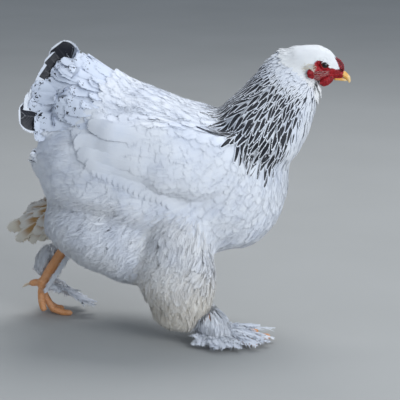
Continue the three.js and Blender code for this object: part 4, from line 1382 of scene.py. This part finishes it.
def layFan():
    shafts, ups, dark = [], [], []
    out = np.linspace(0.6, 1.0, fanPlan["pattern"]["rows"] + 1)[:, None]
    for sign in (1, -1):
        for n in range(fanPlan["number"]):
            share = n / (fanPlan["number"] - 1)
            shaft = fanPlace(np.full(len(out), share), out, sign)
            outward = fanOutward(share, shaft, sign)
            shafts.append(shaft + outward * (0.6 - 0.5 * share) * mm)
            ups.append(np.repeat(outward[None], len(out), axis=0))
            dark.append(fanPlan["dark"][n])
    roots = handRoots(np.array(shafts), 30)
    setSizes(roots, 1, fanPlan["width"], 1, mark=dark)
    return hangVanes(np.array(shafts), np.array(ups), roots, fanPlan)


def fanCourse(places):
    # where places lie in the fan: their share from top to bottom, how far out, and the fan's half width there
    offset = places - tailRoot
    share = (np.degrees(np.arctan2(offset[..., 2], offset[..., 0])) % 360 - fanPlan["from"])
    share = share / (fanPlan["to"] - fanPlan["from"])
    out = np.hypot(offset[..., 0], offset[..., 2]) / (mix(*fanPlan["reach"], np.clip(share, 0, 1)) * mm)
    return share, out, mix(*fanPlan["aside"], np.clip(share, 0, 1.1) ** 1.2) * mm * out


def growCoverts(roots):
    # each covert lies over the flesh on its side of the tail, then over the fan beyond it
    rows = np.linspace(0, 1, covertPlan["pattern"]["rows"] + 1)
    stray = np.radians(covertPlan["stray"]) * roots["rng"].standard_normal(len(roots["place"]))
    way = lieAt(roots["place"], roots["normal"], guidesFrom(bodyCarrier, tailHeart))
    way = turned(way, roots["normal"], stray)[:, None] * rows[:, None] * roots["length"][:, None, None]
    shafts = roots["place"][:, None] + way
    side = np.where(roots["place"][:, 1] > middleY, 1.0, -1.0)
    share, out, halfWidth = fanCourse(shafts)
    aside = np.empty(out.shape)
    for n, shaft in enumerate(shafts):
        flesh = (shaft[0, 1] - middleY) * side[n]
        for row, place in enumerate(shaft):
            start = Vector((place[0], middleY + side[n] * 0.2, place[2]))
            hit = bodyCarrier["tree"].ray_cast(start, Vector((0, -side[n], 0)), 0.2)[0]
            flesh = (hit.y - middleY) * side[n] if hit is not None and out[n, row] < 0.9 else flesh * 0.8
            aside[n, row] = max(flesh, halfWidth[n, row] * smoothStep(0.45, 0.65, out[n, row]))
            over = Vector((place[0], middleY + side[n] * max(flesh, 2 * mm), place[2] + 0.1))
            top = bodyCarrier["tree"].ray_cast(over, Vector((0, 0, -1)), 0.1)[0]
            if hit is None and top is not None:
                place[2] = top.z + 4 * mm
    for _ in range(10):
        aside[:, 1:-1] = np.maximum(aside[:, 1:-1], (aside[:, :-2] + aside[:, 2:]) / 2)
    shafts[..., 1] = middleY + side[:, None] * (aside + (0.8 + 4.6 * rows ** 0.6) * mm)
    nearTop = smoothStep(0.35, -0.1, share)
    turnedOut = np.stack([share * 0, side[:, None] * (0.9 - 0.6 * nearTop), 0.42 + 0.8 * nearTop], axis=-1)
    ups = mix(roots["normal"][:, None], turnedOut, rows[None, :, None])
    return hangVanes(shafts, unit(ups), roots, covertPlan)


fanShare, outThere, _ = fanCourse(skinPlaces)
room = (np.interp(fanShare, *covertPlan["ends"]) - outThere) * fanPlan["reach"][0]
covertRoots = chooseRoots(bodyCarrier, region("tail", room > covertPlan["least"]),
                          covertPlan["spacing"] * mm, 17)
room = atRoots(covertRoots, room)
flecked = between("tail", 0, 1.0, 0.7, covertRoots["place"])
narrow = smoothStep(0.3, -0.1, atRoots(covertRoots, fanShare))
setSizes(covertRoots, 1, mix(*covertPlan["width"], narrow), 4.0, mark=flecked)
covertRoots["length"] = np.where(room < covertPlan["longest"], room * 0.98, covertPlan["length"]) * mm
covertFeathers = featherMaterial("tailCoverts", white=palette["covertWhite"],
                                 flecks={"scale": 2.6, "from": 0.58, "start": 0.7})
fanFeathers = featherMaterial("tailFan", barbs=60.0, roughness=0.45,
                              marks={"Rim": 0.15, "Start": 0.35, "Tip Rim": 0.05, "Soft": 0.05})
makeCoat("tail_fan", [layFan()], fanFeathers)
endFace = (bodyCarrier["normals"] @ unit(np.array(skinPlan["endFacing"]))) > 0.66
underRoots = chooseRoots(bodyCarrier, region("tail", endFace), 6.0 * mm, 37)  # down inside the tent
setSizes(underRoots, 16, 14, 5.0)
makeCoat("tail_coverts", [growCoverts(covertRoots), growFeathers(underRoots, covertPlan)],
         covertFeathers)

# legs: tufts on the shanks, slim feathers swept back from the left hock, and fans over the toes
def fanOver(node, centre, axes, headings, tiers, seed, plan, mark, tone):
    # feathers fanned over one side of a solid of feathers: its own outline says how far each one reaches;
    # a tier is the shares where its feathers start and end, their number, and their height in mm
    along, aside, over = (np.array(axis, dtype=float) for axis in axes)
    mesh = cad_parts[node].data
    offsets = np.array([vert.co for vert in mesh.vertices]) - centre
    angles = np.degrees(np.arctan2(offsets @ aside, offsets @ along))
    reach = np.hypot(offsets @ aside, offsets @ along)
    tree, rng = treeOf(node), np.random.default_rng(seed)
    steps = np.linspace(0, 1, plan["pattern"]["rows"] + 1)
    shafts, ups = [], []
    for start, end, count, height in tiers:
        for heading in np.linspace(*headings, count) + rng.uniform(-4, 4, count):
            apart = np.abs((angles - heading + 180) % 360 - 180)
            if apart.min() > 14:
                continue
            far = reach[apart < max(10, apart.min() + 1)].max() * rng.uniform(0.93, 1.0)
            out = along * math.cos(math.radians(heading)) + aside * math.sin(math.radians(heading))
            places, rest = [], 0.0
            for step in steps:
                place = centre + out * far * mix(start, end, step)
                hit = tree.ray_cast(Vector(place + over * 0.08), Vector(-over), 0.16)[0]
                rest = rest - 0.4 * mm if hit is None else (np.array(hit) - centre) @ over
                places.append(place + over * rest)
            places = np.array(places)
            for _ in range(plan.get("ease", 1)):
                places[1:-1] = (places[:-2] + 2 * places[1:-1] + places[2:]) / 4
            places += over * ((height + plan["lift"] * steps ** 0.6) * mm)[:, None]
            shafts.append(places)
            ups.append(np.repeat((over + out * 0.25)[None], len(steps), axis=0))
    roots = handRoots(np.array(shafts), seed)
    marks = mark * (roots["rng"].random(len(shafts)) < plan.get("marked", 1.0))
    setSizes(roots, 1, plan["width"], 1, mark=marks, tone=tone)
    return hangVanes(np.array(shafts), unit(np.array(ups)), roots, plan)


hockPlan = {"pattern": cutPattern(8, 0.75, 3, 0.2), "outline": (0.5, 0.6, 2.0), "cup": 0.3, "ragged": 0.3,
            "roll": 8, "width": 19, "lift": 2.5, "headings": (-5, 75)}
hockTiers = ((0.25, 1.0, 8, 0.0), (0.1, 0.78, 7, 1.5), (0.0, 0.5, 6, 3.0))
hockTop = spot("hock_feathers_left", 1.05, 0.5, 0.95)
hockFeathers = featherMaterial("hockFeathers", dark=palette["tan"], white=palette["creamWhite"],
                               marks={"Rim": 0.4, "Start": 0.0, "Tip Rim": 0.24, "Soft": 0.5})
hockParts = []
for facing in (-1, 1):
    axes = ((-1, 0, 0), (0, 0, -1), (0, facing, 0))
    hockParts.append(fanOver("hock_feathers_left", hockTop, axes, hockPlan["headings"], hockTiers, 40 + facing,
                             hockPlan, 0.8, 0.15))
makeCoat("hock_feathers", hockParts, hockFeathers, ["hock_feathers_left"])

tuftPlan = {"pattern": patterns["wisp"], "outline": (0.6, 0.6, 1.8), "cup": 0.2, "stray": 14, "settle": 0.5,
            "ragged": 0.7, "spacing": 2.6, "rise": 0.45, "length": 23, "width": 11}
toePlan = {"pattern": cutPattern(9, 0.4, 3, 0.42), "outline": (0.45, 0.55, 1.7), "cup": 0.5, "ragged": 0.8,
           "spread": 0.3, "roll": 12, "width": 18, "lift": 2.5, "marked": 0.35, "ease": 6}
toeTiers = {
    "right": ((0.3, 1.0, 22, -0.5), (0.2, 0.86, 20, 1.0), (0.1, 0.68, 16, 2.6), (0.0, 0.45, 10, 4.2)),
    "left": ((0.3, 1.0, 16, -0.5), (0.2, 0.86, 14, 1.0), (0.1, 0.65, 10, 2.6), (0.0, 0.42, 7, 4.2)),
}
toeHeadings = {"right": (-175, 12), "left": (160, -45)}
toeMarks = {"right": 0.6, "left": 1.0}
stripPlan = {"pattern": patterns["down"], "outline": (0.6, 0.5, 1.7), "cup": 0.3, "ragged": 0.8, "roll": 8,
             "number": 9, "length": 30, "width": 12}


def layStrip():
    # the white feathers that run down the front of the left shank
    top, foot = spot("shank_left", 0.95, 0.2, 0.95), spot("shank_left", 0.3, 0.2, 0.1)
    way = unit(foot - top)
    rows = np.linspace(0, 1, stripPlan["pattern"]["rows"] + 1)[:, None]
    shafts, ups = [], []
    for aside in (-1, 1):
        outward = unit(np.array((0.75, -0.55 + 0.35 * aside, 0.25)))
        for share in np.linspace(-0.1, 0.95, stripPlan["number"]):
            start = mix(top, foot, share) + outward * 2.0 * mm
            shafts.append(start + (way * rows * stripPlan["length"] + outward * rows ** 0.6 * 5.0) * mm)
            ups.append(np.repeat(outward[None], len(rows), axis=0))
    roots = setSizes(handRoots(np.array(shafts), 52), 1, stripPlan["width"], 1)
    return hangVanes(np.array(shafts), np.array(ups), roots, stripPlan)


ankles = {"right": spot("shank_right", 0.45, 0.3, 0.2), "left": spot("shank_left", 0.2, 0.8, 0.05)}
legParts, tufts = [], []
for side, ankle in ankles.items():
    bed = bedding("shank_feathers_" + side, 1.4 * mm, 3, 0.5 * mm, 3.0 * mm)
    top = spot("shank_feathers_" + side, 0.5, 0.5, 1.4)
    roots = chooseRoots(bed, np.ones(len(bed["places"])), tuftPlan["spacing"] * mm, 31)
    grey = roots["rng"].random(len(roots["place"])) > 0.9
    setSizes(roots, tuftPlan["length"], tuftPlan["width"], 3.2, mark=0.6 * grey, tone=0.1)
    tufts.append(growFeathers(roots, tuftPlan, guidesFrom(bed, top, (0, 0, -0.6))))
    axes = ((1, 0, 0), (0, 1, 0), (0, 0, 1))
    legParts.append(fanOver("foot_feathers_" + side, ankle, axes, toeHeadings[side], toeTiers[side], 50,
                            toePlan, toeMarks[side], 0.05))
legFeathers = featherMaterial("legFeathers", flecks={"scale": 4.0, "from": 0.56, "start": 0.25})
makeCoat("shank_feathers", tufts, legFeathers,
         ["shank_feathers_" + side for side in ankles])
legParts.append(layStrip())
makeCoat("foot_feathers", legParts, legFeathers,
         ["foot_feathers_" + side for side in ankles])

# ---- eyes

eyePlan = {"gaze": (0.16, 0.985, 0.05), "cornea": 5.4 * mm, "bulge": 0.55 * mm, "rings": 40, "slices": 64}
eyeFinish = eyeMaterial()


def addEye(side, centre):
    radius = eyeRadius - 0.05 * mm
    gaze = unit(np.array(eyePlan["gaze"]) * (1, sideSign[side], 1))
    mesh = bpy.data.meshes.new("eyeball_" + side)
    bm = bmesh.new()
    bmesh.ops.create_uvsphere(bm, u_segments=eyePlan["slices"], v_segments=eyePlan["rings"], radius=1.0)
    turn = Vector((0, 0, 1)).rotation_difference(Vector(gaze)).to_matrix()
    rim = math.asin(eyePlan["cornea"] / radius)
    polars, turns = [], []
    for vert in bm.verts:
        polar = math.acos(max(-1, min(1, vert.co.z)))
        polars.append(polar)
        turns.append(abs(math.atan2(vert.co.y, vert.co.x)))
        dome = max(0.0, 1 - (polar / rim) ** 2)
        vert.co = turn @ vert.co * (radius + eyePlan["bulge"] * dome) + Vector(centre)
    bm.to_mesh(mesh)
    bm.free()
    mesh.polygons.foreach_set("use_smooth", np.ones(len(mesh.polygons), dtype=bool))
    setAttribute(mesh, "polar", polars)
    setAttribute(mesh, "turn", turns)
    addPiece("eyeball_" + side, mesh, ["eye_" + side], [eyeFinish])


for side, centre in eyes.items():
    addEye(side, centre)
report("eyes set")

# ---- beak and claws

beakPlan = {"voxel": 0.45 * mm, "soften": 5, "nostrilAt": ("beak_upper", 0.12, 0, 0.62),
            "slit": 3.4 * mm, "slitWidth": 0.9 * mm, "slitDepth": 0.9 * mm, "flap": 0.2 * mm,
            "growthLine": 0.04 * mm}
clawPlan = {"voxel": 0.4 * mm, "soften": 3, "growthLine": 0.05 * mm}


def addHorn(name, nodes, material, plan, shape):
    mesh = castSolid(nodes, plan["voxel"], plan["soften"], 0.05 * mm)
    places = pointsOf(mesh)
    moved, worn = shape(places, normalsOf(mesh))
    movePoints(mesh, moved)
    setAttribute(mesh, "worn", worn)
    mesh.polygons.foreach_set("use_smooth", np.ones(len(mesh.polygons), dtype=bool))
    addPiece(name, mesh, nodes, [material])


def shapeUpperBeak(places, normals):
    # a slit nostril on each side under a low flap, and fine growth lines round the hook
    length = between("beak_upper", 0, 0, 1, places)
    nostril = spot(*beakPlan["nostrilAt"])
    aside = np.abs(places[:, 1] - middleY)
    u = (places[:, 0] - nostril[0]) / beakPlan["slit"]
    v = (places[:, 2] - nostril[2] + u * 0.8 * mm) / beakPlan["slitWidth"]
    onSide = smoothStep(1.5 * mm, 3.0 * mm, aside)
    slit = smoothStep(1.0, 0.4, np.hypot(u, v)) * onSide
    flap = smoothStep(1.6, 1.0, np.hypot(u, v - 1.6)) * onSide
    lines = np.sin(length * 46) * beakPlan["growthLine"]
    lift = flap * beakPlan["flap"] - slit * beakPlan["slitDepth"] + lines
    return places + normals * lift[:, None], length


def shapeLowerBeak(places, normals):
    length = between("beak_lower", 0, 0, 1, places)
    return places + normals * (np.sin(length * 30) * beakPlan["growthLine"])[:, None], length


beakHorn = hornMaterial("beakHorn", palette["beakYellow"], palette["beakPale"], palette["beakBrown"], 0.55, 1.0)
clawHorn = hornMaterial("clawHorn", palette["claw"], palette["clawTip"], palette["legDark"], 0.4, 1.0)
addHorn("upper_beak_horn", ["beak_upper"], beakHorn, beakPlan, shapeUpperBeak)
addHorn("lower_beak_horn", ["beak_lower"], beakHorn, beakPlan, shapeLowerBeak)

clawNodes = [f"claw_{side}_{toe}" for side in ("left", "right") for toe in ("back", "inner", "middle", "outer")]


def shapeClaws(places, normals):
    # worn counts along each claw, from its root in the toe to its tip
    worn = np.zeros(len(places))
    for node in clawNodes:
        low, high = spot(node, 0, 0, 0), spot(node, 1, 1, 1)
        own = np.all((places > low - mm) & (places < high + mm), axis=1)
        heel = spot("foot_left" if "left" in node else "foot_right", 0.4, 0.5, 0)
        reach = np.linalg.norm((places - heel)[:, :2], axis=1)
        if own.any():
            worn[own] = (reach[own] - reach[own].min()) / np.ptp(reach[own])
    places = places + normals * (np.sin(worn * 40) * clawPlan["growthLine"])[:, None]
    places[:, 2] = np.maximum(places[:, 2], 0)
    return places, worn


addHorn("claw_horn", clawNodes, clawHorn, clawPlan, shapeClaws)
report("beak and claws made")

# ---- floor, light and camera

floorMesh = bpy.data.meshes.new("floor")
bm = bmesh.new()
bmesh.ops.create_grid(bm, x_segments=8, y_segments=8, size=6.0)
bm.to_mesh(floorMesh)
bm.free()
floor = bpy.data.objects.new("floor", floorMesh)
bpy.context.scene.collection.objects.link(floor)
floorMesh.materials.append(floorMaterial())

view = {"azimuth": 5, "elevation": 13, "distance": 2.6, "lens": 161.4, "sensor": 36,
        "target": (0.0372, middleY, 0.194)}


def addCamera():
    camera = bpy.data.cameras.new("camera")
    camera.lens = view["lens"]
    camera.sensor_width = view["sensor"]
    camera.clip_end = 50
    turn, rise = math.radians(view["azimuth"]), math.radians(view["elevation"])
    back = Vector((math.sin(turn) * math.cos(rise), -math.cos(turn) * math.cos(rise), math.sin(rise)))
    holder = bpy.data.objects.new("camera", camera)
    holder.location = Vector(view["target"]) + back * view["distance"]
    holder.rotation_euler = back.to_track_quat("Z", "Y").to_euler()
    bpy.context.scene.collection.objects.link(holder)
    bpy.context.scene.camera = holder


lamps = {  # place, size, watts, colour
    "key": ((0.3, 1.0, 2.4), 1.4, 36, (0.95, 0.97, 1.0)),
    "front": ((1.2, -2.2, 1.5), 2.2, 16, (0.82, 0.90, 1.0)),
    "side": ((1.6, -1.6, 0.9), 1.2, 25, (0.92, 0.96, 1.0)),
}


def addLamps():
    for name, (place, size, watts, colour) in lamps.items():
        lamp = bpy.data.lights.new(name, "AREA")
        lamp.size = size
        lamp.energy = watts
        lamp.color = colour
        holder = bpy.data.objects.new(name, lamp)
        holder.location = place
        aim = Vector(place) - Vector((0, 0, 0.2))
        holder.rotation_euler = aim.to_track_quat("Z", "Y").to_euler()
        bpy.context.scene.collection.objects.link(holder)


def setWorld():
    world = bpy.data.worlds.new("studio")
    world.use_nodes = True
    backdrop = world.node_tree.nodes["Background"]
    backdrop.inputs[0].default_value = (0.76, 0.86, 1.0, 1.0)
    backdrop.inputs[1].default_value = 0.4
    bpy.context.scene.world = world
    bpy.context.scene.view_settings.view_transform = "Standard"


addCamera()
addLamps()
setWorld()
